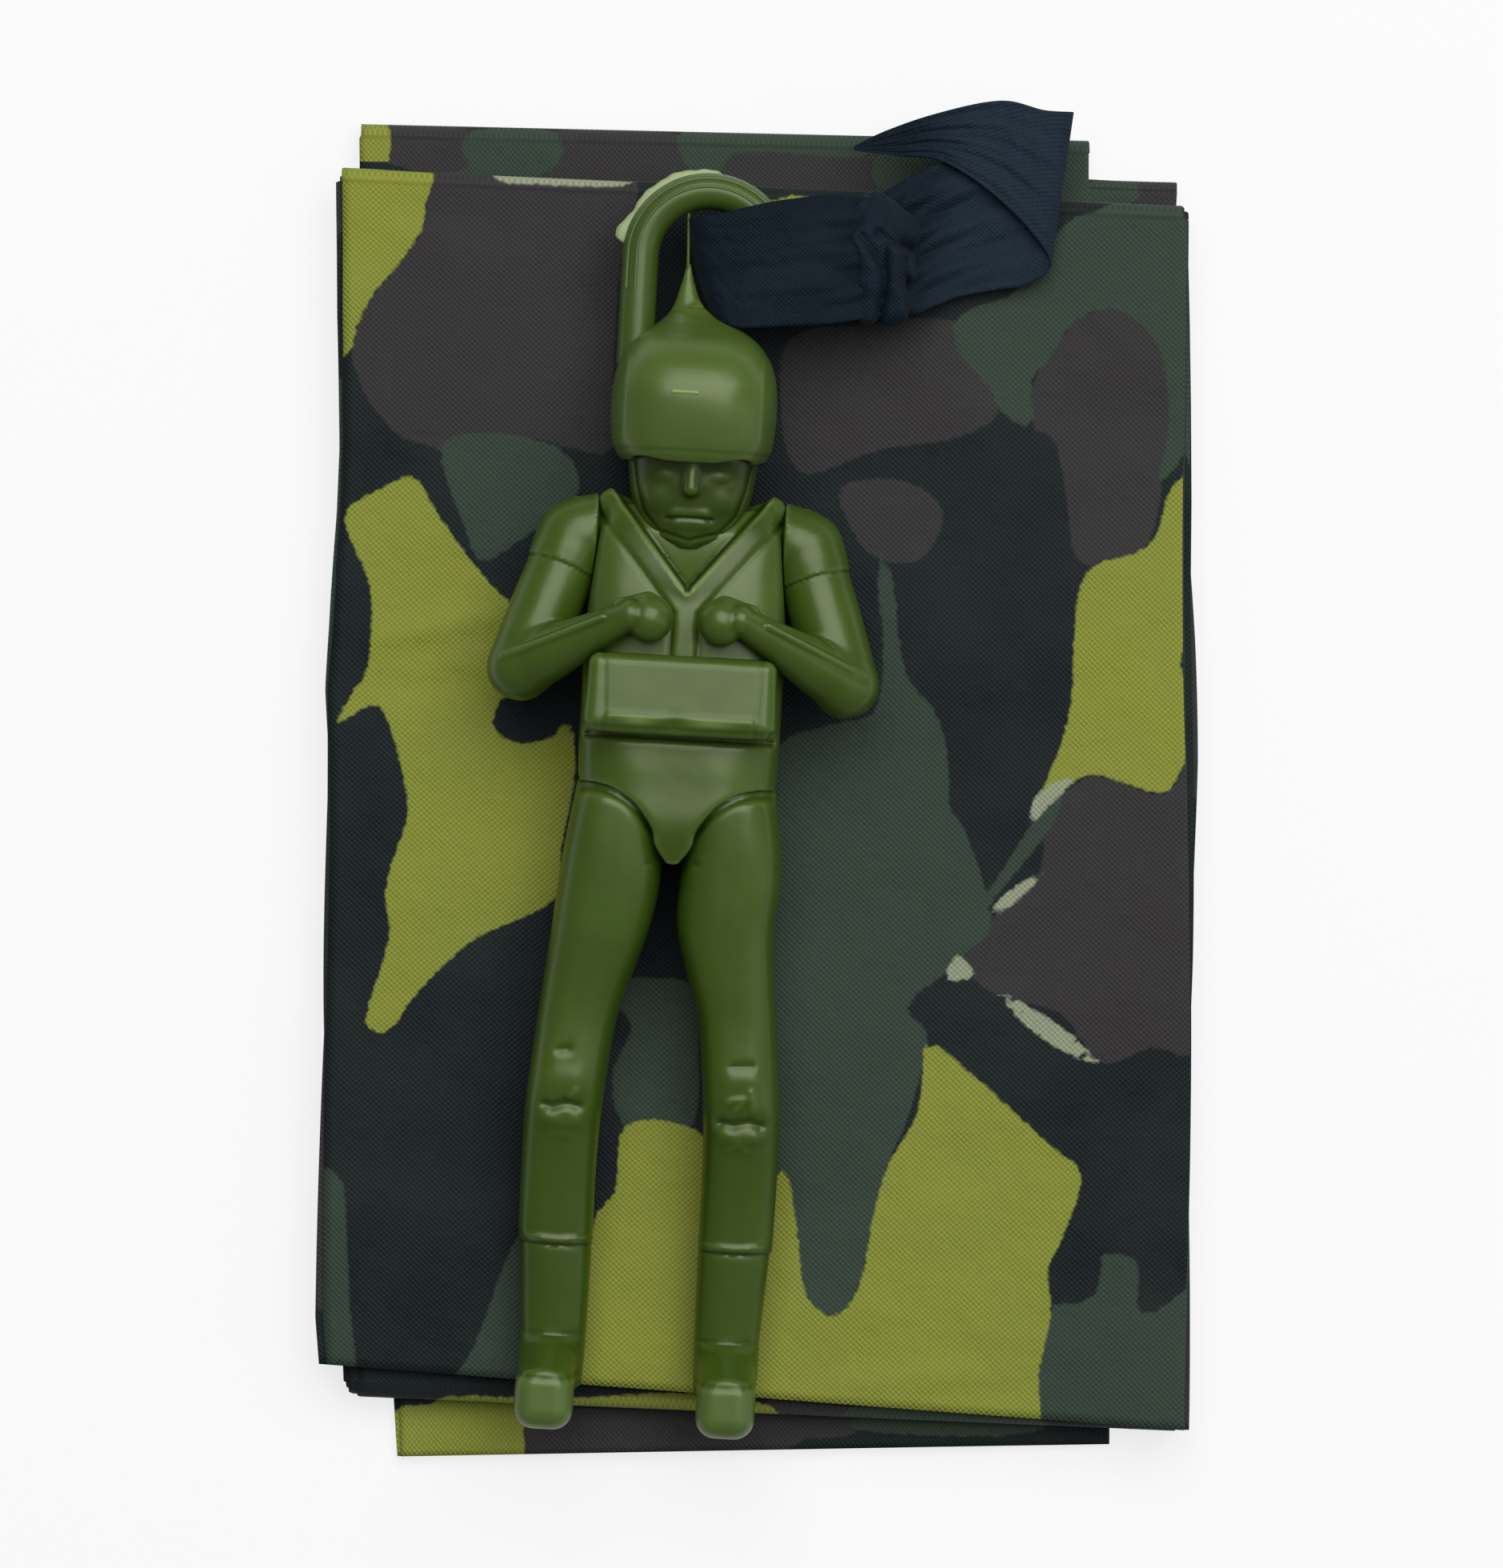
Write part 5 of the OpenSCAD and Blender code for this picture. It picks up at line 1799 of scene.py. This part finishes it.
# Corner points of the printed shapes, on the top panel and on the margins that show round it.
Outlines = dict[str, tuple[tuple[Point2, ...], ...]]
TOP_PRINTS: Outlines = {
    "lime": (
        ((-36.4, 46.3), (-35.5, 47.9), (-28.9, 48), (-29, 45.3), (-29.2, 43.1), (-31, 40.1), (-32.7, 37.8),
         (-33.8, 35.5), (-34.3, 33.3), (-35.7, 33.4)),
        ((-34.1, 20.3), (-31.6, 22.2), (-28.8, 23.5), (-26.7, 20.7), (-24.3, 17.7), (-21.5, 14.7),
         (-17, 11.1), (-17.4, 8.6), (-20.4, 6.6), (-21.3, 5.1), (-21.1, 3.7), (-19.2, 2.8), (-16.6, 3.4),
         (-15.4, 4.9), (-14.6, 1.1), (-15.4, -5.3), (-15.7, -9.4), (-21.4, -12.6), (-24.1, -15),
         (-26.8, -18.3), (-27.9, -20.2), (-29.1, -20.8), (-30.1, -20.1), (-30, -18.9), (-29.4, -16.5),
         (-28.6, -13), (-29.1, -9.9), (-28.7, -7), (-27.7, -3.4), (-28.4, 0.3), (-29.6, 3.8), (-30.9, 5.3),
         (-33.7, 3.6), (-32.6, 6.1), (-31.5, 8.4), (-31.6, 14.1), (-32.9, 17.2)),
        ((33.5, 27.6), (31.3, 25.9), (30.6, 22.6), (29.1, 20.7), (25.7, 19.5), (24.5, 17.2), (24.4, 13.4),
         (24.4, 8.4), (23.6, 4.5), (22.3, 0.6), (24.7, 2), (26.6, 2.9), (31.1, 1.8), (32.7, 2.2), (34, 5.7),
         (34, 8.9), (32.9, 12), (33.5, 14.6), (34.8, 15.3), (34.1, 26.7)),
        ((14.5, -19.1), (17.1, -20.6), (20.8, -23.5), (24.4, -26.5), (27.2, -28.6), (26.9, -31.4),
         (25.8, -34.7), (25, -36.6), (25.5, -39.8), (24.8, -44.9), (24.5, -50), (15.6, -49.8), (6, -49.1),
         (2.2, -48), (1, -38.6), (3.4, -29.9), (4.5, -32.1), (5.2, -35.8), (5.6, -38.3), (6.2, -39.9),
         (7.8, -41.2), (9.4, -40.4), (10.5, -37.4), (10.9, -33.6), (11.9, -29.1), (13.9, -25.2), (14.3, -22)),
        ((-9.1, -27), (-3.6, -27), (-0, -31.1), (2.3, -38.5), (2.2, -48.7), (-10.4, -49.4), (-11.3, -39.3),
         (-11, -34.2), (-9.5, -32.2)),
        ((-23, -51.4), (-22, -49.9), (-20.6, -48.6), (-16.2, -47.8), (-9.3, -47.6), (-9.1, -51.2)),
        ((-3.8, 46.1), (-1.2, 47.1), (1.1, 47.5), (1.2, 46.8), (-1.5, 46.2), (-3.2, 45.6)),
    ),
    "grey": (
        ((8.8, 20.2), (9.9, 16.4), (10.9, 10.8), (12.3, 8.6), (13.7, 7.1), (14.8, 4), (15.2, -0.4),
         (15.6, -4.2), (17.6, -7.2), (16, -11.1), (13.6, -15.1), (12.8, -16.7), (14.5, -18.8), (13.3, -25.2),
         (11.9, -29.1), (9.9, -39.4), (7.8, -41.2), (5.8, -39.1), (4.1, -32.1), (0.9, -25.9), (-0.3, -10.1),
         (0.6, 2.6), (5.5, 5.7), (8.9, 6.9), (9.2, 12.6), (8.6, 16.3)),
        ((13.5, 38.2), (15.7, 39.7), (17.5, 40.3), (19.9, 43), (21.6, 46.2), (24.1, 47.5), (32.2, 49.4),
         (33.4, 29.1), (32.4, 28.8), (31.3, 27.1), (30.3, 26.4), (30.9, 30), (30.8, 32.8), (29.7, 37.2),
         (26.4, 39.9), (23, 38.7), (21, 35.4), (19.8, 33.8), (20.1, 30.3), (17.7, 31.1), (16.3, 33.3),
         (14, 35.7)),
        ((-12.3, -15.9), (-4.2, -15.4), (-3.7, -19.2), (-3.8, -26.9), (-9.1, -27.1), (-10.3, -22.8),
         (-9, -18.9)),
        ((25.2, -39.8), (27.4, -39.2), (28.9, -38.3), (29.3, -36.4), (29.3, -35.1), (31.9, -35.3),
         (32.3, -36.9), (32.4, -39.4), (34, -39.3), (37.1, -37.9), (37.8, -49.9), (24.5, -50), (24.8, -44.9)),
        ((-33.5, -32.9), (-31.3, -32.8), (-30.6, -37.8), (-30.1, -42.9), (-29.5, -47.9), (-32.7, -48.7)),
        ((-21.9, -49.1), (-20.2, -45.5), (-18.8, -41), (-17.5, -37.1), (-15.9, -36.1), (-15.2, -48.4)),
        ((-26.7, 25.8), (-23, 27.3), (-17.2, 26.3), (-15.7, 22.6), (-20.6, 18.5), (-23, 17.1), (-24.4, 19.6)),
        ((6.1, 1.3), (14.7, 0.2), (19, -8.7), (17.3, -11.7), (13.6, -15.1), (10.5, -15.2)),
        ((21.8, -1.3), (24.1, 1.4), (23.1, -1.9), (18.9, -7.8), (16.3, -12.4), (15.4, -11.8), (18.9, -6.5)),
    ),
    "brown": (
        ((-28.9, 48.5), (-22.2, 48.5), (-12.7, 48.4), (-13.3, 41.1), (-13.4, 32.9), (-13.1, 26.5),
         (-17.2, 26.6), (-21, 26.9), (-24, 23.4), (-27, 25.8), (-29.9, 26.6), (-32.6, 29.3), (-34.2, 33),
         (-33.8, 35.5), (-32.7, 37.8), (-31, 40.1), (-29.2, 43.1), (-29, 45.3)),
        ((22.9, 0), (24.8, 1.7), (26.6, 2.8), (31.1, 1.6), (32.7, 2), (35.3, 5.2), (36.6, -17), (32.2, -18.5),
         (28.2, -20), (25.1, -16.3), (19.3, -14.8), (17, -12.3), (19, -9.1), (22.6, -5.4)),
        ((23, 38.7), (26.4, 40.3), (29.3, 38.7), (30.6, 36), (31.2, 31.6), (30.7, 26.5), (30.2, 22.6),
         (29.1, 20.7), (25.7, 19.5), (24, 20.4), (23.1, 24.8), (22, 29.1), (20.1, 30.3), (20.1, 34.1)),
        ((0.6, 36.2), (6.3, 37.5), (13.8, 38.2), (16.3, 33.3), (17.4, 31.1), (14.3, 29), (8.1, 27.7),
         (1.9, 25.5), (-0, 31.1)),
        ((5.1, 24.4), (10.1, 25.3), (13.4, 23), (11.7, 19.1), (7.6, 19.5)),
    ),
    "pale": (
        ((21.8, -1.3), (21.8, 0.6), (23.8, 2.3), (25, 2.4), (22.9, 0)),
        ((19, -8.7), (19.9, -7.1), (22.9, -4.9), (22.6, -5.7), (20.8, -7.7)),
        ((15.7, -14), (16.3, -12.1), (17, -12.3), (18, -13.7)),
        ((19.9, -14.9), (21.6, -15.4), (25.1, -17.3), (27.5, -19.2), (28.6, -20.2), (25.8, -19.4),
         (22.6, -17.6)),
        # This pale strip along the fold at the head end is a painted highlight, the light on the fold's edge.
        ((-23.4, 47.4), (-21, 47.2), (-13.3, 47.5), (-13.2, 49), (-23.4, 49)),
    ),
}
MARGIN_PRINTS: Outlines = {
    "lime": (
        ((-35.7, 51.9), (-32.6, 51.8), (-32.4, 48), (-35.5, 47.8)),
        ((-26.5, -50.9), (-21.8, -50.3), (-16.7, -50.5), (-16.5, -54.8), (-26.6, -55.4)),
        ((-22.4, -50.2), (-21.8, -49.3), (-13, -49), (-2.9, -48), (3.5, -48.6), (3.2, -50.2), (-9.1, -50.3),
         (-19.2, -51.1)),
    ),
    "grey": (
        ((-25.9, 51.2), (-19.2, 51.6), (-19.1, 48.7), (-25.4, 48.4)),
        ((-8.5, 52.8), (7.3, 53.7), (5.5, 51), (-4.6, 50.8), (-5.7, 47.9), (-7.3, 47.8)),
        ((21.2, 53.5), (24.4, 53.7), (27.2, 47.8), (21.6, 47.5)),
        ((24.5, 51.2), (27.4, 51.3), (27.6, 47.8), (24.7, 47.7)),
        ((10.7, -48.2), (24.4, -48.4), (24.5, -50), (10.9, -50.4)),
        ((6.9, 51.6), (13.0, 51.9), (13.1, 49.9), (8.9, 48.1), (6.6, 48.0)),
    ),
    "brown": (
        ((-32.6, 51.5), (-25.9, 51.3), (-25.4, 48.4), (-32.4, 48)),
        ((-19.2, 51.6), (-8.5, 51.8), (-7.6, 47.8), (-19, 47.5)),
        ((-4.6, 50.8), (6.1, 51.1), (8.3, 46.8), (-5.7, 47.2)),
        ((27.4, 51.3), (30.8, 51.5), (31, 48), (27.6, 47.8)),
        ((-16.7, -50.5), (3.5, -49.6), (3.7, -53), (-16.5, -54.8)),
        ((3.4, -48), (10.8, -48.5), (10.9, -50.7), (3.6, -51.1)),
    ),
    "pale": (
        # This pale strip along the fold at the head end is a painted highlight, the light on the fold's edge.
        ((-5.5, 48.8), (0.6, 48.1), (6.9, 48.2), (7, 47.6), (0.6, 47.6), (-5.4, 48.2)),
    ),
}


@dataclass
class TieStrap:
    """The dark strip that is looped over the hook, knotted beside it and folded back at its end.

    A station has the strip's lower and upper edge, its height and the depth of its pleats, in
    the row frame, from the free tip of the flap to the end inside the knot. The knot's wraps are
    rods in the figure frame. The length and width are those of the strip laid flat.
    """

    length: float = 62.0
    width: float = 11.0
    thickness: float = 0.24
    pleats: float = 3.5
    stations: tuple[Row, ...] = (
        (4.75, 51.1, 4.7, 51.45, 8.3, 0.0), (8.1, 50.9, 7.2, 52.85, 8.0, 0.06),
        (11.7, 50.7, 11.4, 54.55, 7.8, 0.12), (15.8, 48.4, 16.2, 55.75, 7.7, 0.12),
        (19.4, 45.2, 19.6, 55.2, 7.45, 0.08), (20.75, 42.9, 21.85, 55.2, 6.95, 0.03),
        (19.2, 41.4, 20.2, 54.9, 6.5, 0.06), (16.8, 40.85, 16.8, 53.3, 6.6, 0.14),
        (13.7, 40.1, 12.0, 50.8, 7.0, 0.28), (11.2, 38.9, 9.2, 49.3, 8.2, 0.45),
        (9.9, 38.4, 7.6, 48.2, 9.3, 0.5), (7.9, 38.1, 6.2, 47.4, 10.6, 0.45),
        (6.2, 37.75, 5.1, 47.35, 11.8, 0.25), (3.5, 37.1, 3.2, 47.25, 12.9, 0.12),
        (1.2, 36.85, 1.1, 46.95, 13.3, 0.08), (-1.9, 36.5, -1.7, 46.4, 13.4, 0.06),
        (-3.6, 36.4, -4.9, 45.5, 13.3, 0.05), (-4.9, 36.75, -7.1, 44.95, 12.75, 0.03),
        (-5.6, 37.1, -7.9, 44.95, 11.2, 0.0), (-4.9, 36.95, -7.1, 44.9, 9.6, 0.03),
        (-3.9, 36.85, -4.9, 45.3, 9.1, 0.05), (1.2, 37.0, 1.1, 46.3, 8.9, 0.08),
        (4.2, 37.6, 4.0, 46.5, 8.7, 0.2), (6.8, 38.3, 6.0, 46.6, 8.6, 0.3),
    )
    steps: int = 9
    width_steps: int = 44
    wraps: tuple[tuple[Point, Point, float, float], ...] = (
        ((12.1, 52.4, -0.6), (15.6, 50.9, -0.9), 1.05, 1.3),
        ((12.3, 50.2, 0.1), (13.3, 46.4, 0.0), 1.15, 1.2),
        ((14.6, 49.0, -0.2), (15.0, 44.9, -0.7), 1.25, 1.5),
        ((13.2, 47.6, 0.2), (12.9, 44.5, -0.3), 0.9, 1.15),
        ((15.2, 51.6, -1.0), (15.9, 47.6, -1.0), 0.9, 0.8),
        ((13.0, 53.0, -1.4), (12.4, 51.0, -0.7), 1.0, 1.0),
    )
    wrap_lines: tuple[tuple[Point2, ...], ...] = (
        ((12.1, 50.3), (13.0, 49.2), (13.8, 47.9)), ((13.5, 50.6), (14.8, 49.8), (15.9, 49.5)),
        ((14.0, 49.6), (14.2, 47.0), (14.0, 44.2)), ((15.7, 48.6), (15.9, 46.2), (16.3, 44.4)),
    )

    def surface(self) -> tuple[Array, Array]:
        """Points of the strip and its flat coordinates."""
        rows = np.array(curve(self.stations, self.steps))
        v = np.linspace(0, 1, self.width_steps)[None, :]
        low, high = rows[:, None, [0, 1]], rows[:, None, [2, 3]]
        plane = low + (high - low) * v[..., None]
        drift = 0.9 * np.sin(np.arange(len(rows))[:, None] * 0.035)
        broad = np.sin(2 * math.pi * (self.pleats * v + drift))
        narrow = np.sin(2 * math.pi * (2.3 * self.pleats * v - drift))
        fade = np.sin(math.pi * np.clip(v, 0.03, 0.97)) ** 0.4
        z = rows[:, 4][:, None] + rows[:, 5][:, None] * (broad + 0.45 * narrow) * fade
        z = z + 0.05 * ripple(plane[..., 0], plane[..., 1], 71, 6)
        bend = bell(rows[:, 0] + 5.7, 1.3)[:, None]
        plane = plane - np.stack([0.42 * bend * np.sin(math.pi * v) ** 0.8, 0 * bend * v], axis=-1)
        points = np.concatenate([plane, z[..., None]], axis=2)
        middle = points[:, self.width_steps // 2]
        along = np.concatenate([[0], np.cumsum(np.linalg.norm(np.diff(middle, axis=0), axis=1))])
        across = np.concatenate([np.zeros((len(rows), 1)),
                                 np.cumsum(np.linalg.norm(np.diff(points, axis=1), axis=2), axis=1)], axis=1)
        flat = np.stack(np.broadcast_arrays(along[:, None], across), axis=-1)
        return points, flat

    def build(self, finish: bpy.types.Material) -> None:
        """Lay the strip and its knot, hide the CAD node and bake their places."""
        points, flat = self.surface()
        faces = lattice(points.shape[1], points.shape[0])
        x, z = points[..., 0], points[..., 2]
        # Painted light: the tail and its upper flap are paler, as they show lit, and the loop stays dark.
        painted_strap_light = smooth_step(8.5, 15, x) * (0.8 + 0.2 * smooth_step(7.1, 7.4, z))
        strip = Sheet(points.reshape(-1, 3), faces, {"painted_strap_light": painted_strap_light.ravel()}, flat.reshape(-1, 2))
        strip = strip.piece("tie_strap_strip", finish)
        area = sum(face.area for face in strip.data.polygons) / MM ** 2
        length = float(flat[:, 0, 0].max())
        thicken(strip, self.thickness)
        knot = self.knot(finish)
        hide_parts("tie_strap")
        for piece in (strip, knot):
            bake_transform(piece)
            LOG.info("%s: %d faces, between canopy and torso", piece.name, len(piece.data.polygons))
        LOG.info("strip: %.1f mm long, %.0f mm2", length, area)

    def knot(self, finish: bpy.types.Material) -> bpy.types.Object:
        """The wraps of the knot, pulled tight round the gathered strip."""
        space = Space((10.6, 42.4, -5.0), (17.6, 55.2, 2.0), 0.16)
        body = space.ball((14.1, 48.7, -1.3), (2.0, 4.7, 2.2))
        for start, end, radius, last in self.wraps:
            body = union(body, space.rod(start, end, radius, last), 0.45)
        for line in self.wrap_lines:
            body = body + 0.4 * bell(space.stroke(line), 0.34)
        body = body - 0.06 * ripple(space.x + 0 * space.y, space.y + 0.6 * space.x, 83, 2.2)
        points, faces, relief = space.skin(body)
        points = points + FIGURE_PLACE
        # Painted light on the knot: paler on its ridges as painted highlight, darker in its creases as
        # painted shade.
        painted_strap_light = {"painted_strap_light": 0.15 + 0.05 * relief}
        return Sheet(points, faces, painted_strap_light, points[:, :2].copy()).piece("tie_strap_knot", finish)


# Studio


@dataclass
class Studio:
    """Floor, light and camera."""

    turn: float = math.radians(3.2)
    aim: Point = (-0.58, 0.62, 8.0)
    frame_height: float = 124.1
    lens: float = 250.0
    sensor: float = 36.0

    def build(self) -> None:
        """Make the floor, the lamps, the world and the camera."""
        self.floor()
        self.lamps()
        self.world()
        self.camera()

    def floor(self) -> None:
        """A plain white floor that keeps the object's shadow."""
        half = 6000.0
        points = np.array([(-half, -half, 0), (half, -half, 0), (half, half, 0), (-half, half, 0)])
        board = Board.named("studio_floor")
        seen = board.value("ShaderNodeLightPath", {}, {}, "Is Camera Ray")
        paint = board.node("ShaderNodeBsdfDiffuse", {}, {"Color": (0.8, 0.8, 0.8, 1)})
        glow = board.node("ShaderNodeEmission", {}, {"Color": (0.985, 0.985, 0.985, 1), "Strength": 1.0})
        mixed = board.node("ShaderNodeMixShader", {},
                           {0: seen * 0.78, 1: paint.outputs[0], 2: glow.outputs[0]})
        board.node("ShaderNodeOutputMaterial", {}, {"Surface": mixed.outputs[0]})
        made = Sheet(points, np.array([[0, 1, 2, 3]])).piece("studio_floor", board.material)

    @staticmethod
    def lamp(name: str, at: Point, to: Point, width: float, depth: float, radiance: float) -> None:
        """One soft rectangular lamp.

        Args:
            name: Name of the lamp.
            at: Its middle in metres.
            to: The point that it faces.
            width: Its size along X.
            depth: Its size across that.
            radiance: Brightness of its face.
        """
        data = bpy.data.lights.new(name, "AREA")
        data.shape = "RECTANGLE"
        data.size = width
        data.size_y = depth
        data.energy = radiance * math.pi * width * depth
        made = show(name, data)
        made.location = at
        made.rotation_euler = (Vector(to) - Vector(at)).to_track_quat("-Z", "Y").to_euler()

    def lamps(self) -> None:
        """A broad ceiling light that reaches from above the object to its head side."""
        self.lamp("ceiling", (0.1, 0.42, 0.85), (0, 0.05, 0), 0.95, 0.85, 4.3)
        self.lamp("side_strip", (0.75, -0.1, 0.5), (0, 0, 0), 0.25, 0.9, 1.0)

    def world(self) -> None:
        """An even pale surround."""
        world = bpy.data.worlds.new("studio")
        bpy.context.scene.world = world
        world.use_nodes = True
        sockets = world.node_tree.nodes["Background"].inputs
        sockets["Color"].default_value = (1, 1, 1, 1)
        sockets["Strength"].default_value = 0.2

    def camera(self) -> None:
        """Look straight down on the canopy, turned as the photograph is."""
        data = bpy.data.cameras.new("photo_camera")
        data.lens = self.lens
        data.sensor_width = self.sensor
        data.clip_end = 10
        made = show("photo_camera", data)
        away = self.lens * self.frame_height / self.sensor
        x, y, z = self.aim
        made.location = (x * MM, y * MM, (z + away) * MM)
        made.rotation_euler = (0, 0, self.turn)
        bpy.context.scene.camera = made


def corners(bounds: Iterable[Iterable[float]]) -> list[list[float]]:
    """A box as plain lists of numbers."""
    return [[float(value) for value in corner] for corner in bounds]


def main() -> None:
    """Load the frame and build every piece."""
    logging.basicConfig(level=logging.INFO, format="%(name)s: %(message)s")
    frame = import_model()
    # In each plastic the second colour is painted shade for grooves, and the third is a painted highlight for
    # ridges.
    plastic = Plastic("olive_plastic", (56, 78, 16), (18, 30, 2), (125, 145, 85)).make()
    hook_plastic = Plastic("hook_plastic", (58, 78, 26), (20, 34, 4), (150, 165, 118), 0.34).make()
    Torso().build(plastic)
    ReservePack().build(plastic)
    Head().build(plastic)
    Helmet().build(plastic)
    for side in Side:
        Arm(side).build(plastic)
        Leg(side).build(plastic)
    Hook().build(hook_plastic)
    pin = frame["nodes"]["hip_pin"]
    pin.data.materials.clear()
    pin.data.materials.append(hook_plastic)
    Canopy().build(CamouflageCloth().make())
    TieStrap().build(NavyCloth().make())
    Studio().build()
    bpy.context.scene.view_settings.view_transform = "Standard"


if __name__ == "__main__":
    main()
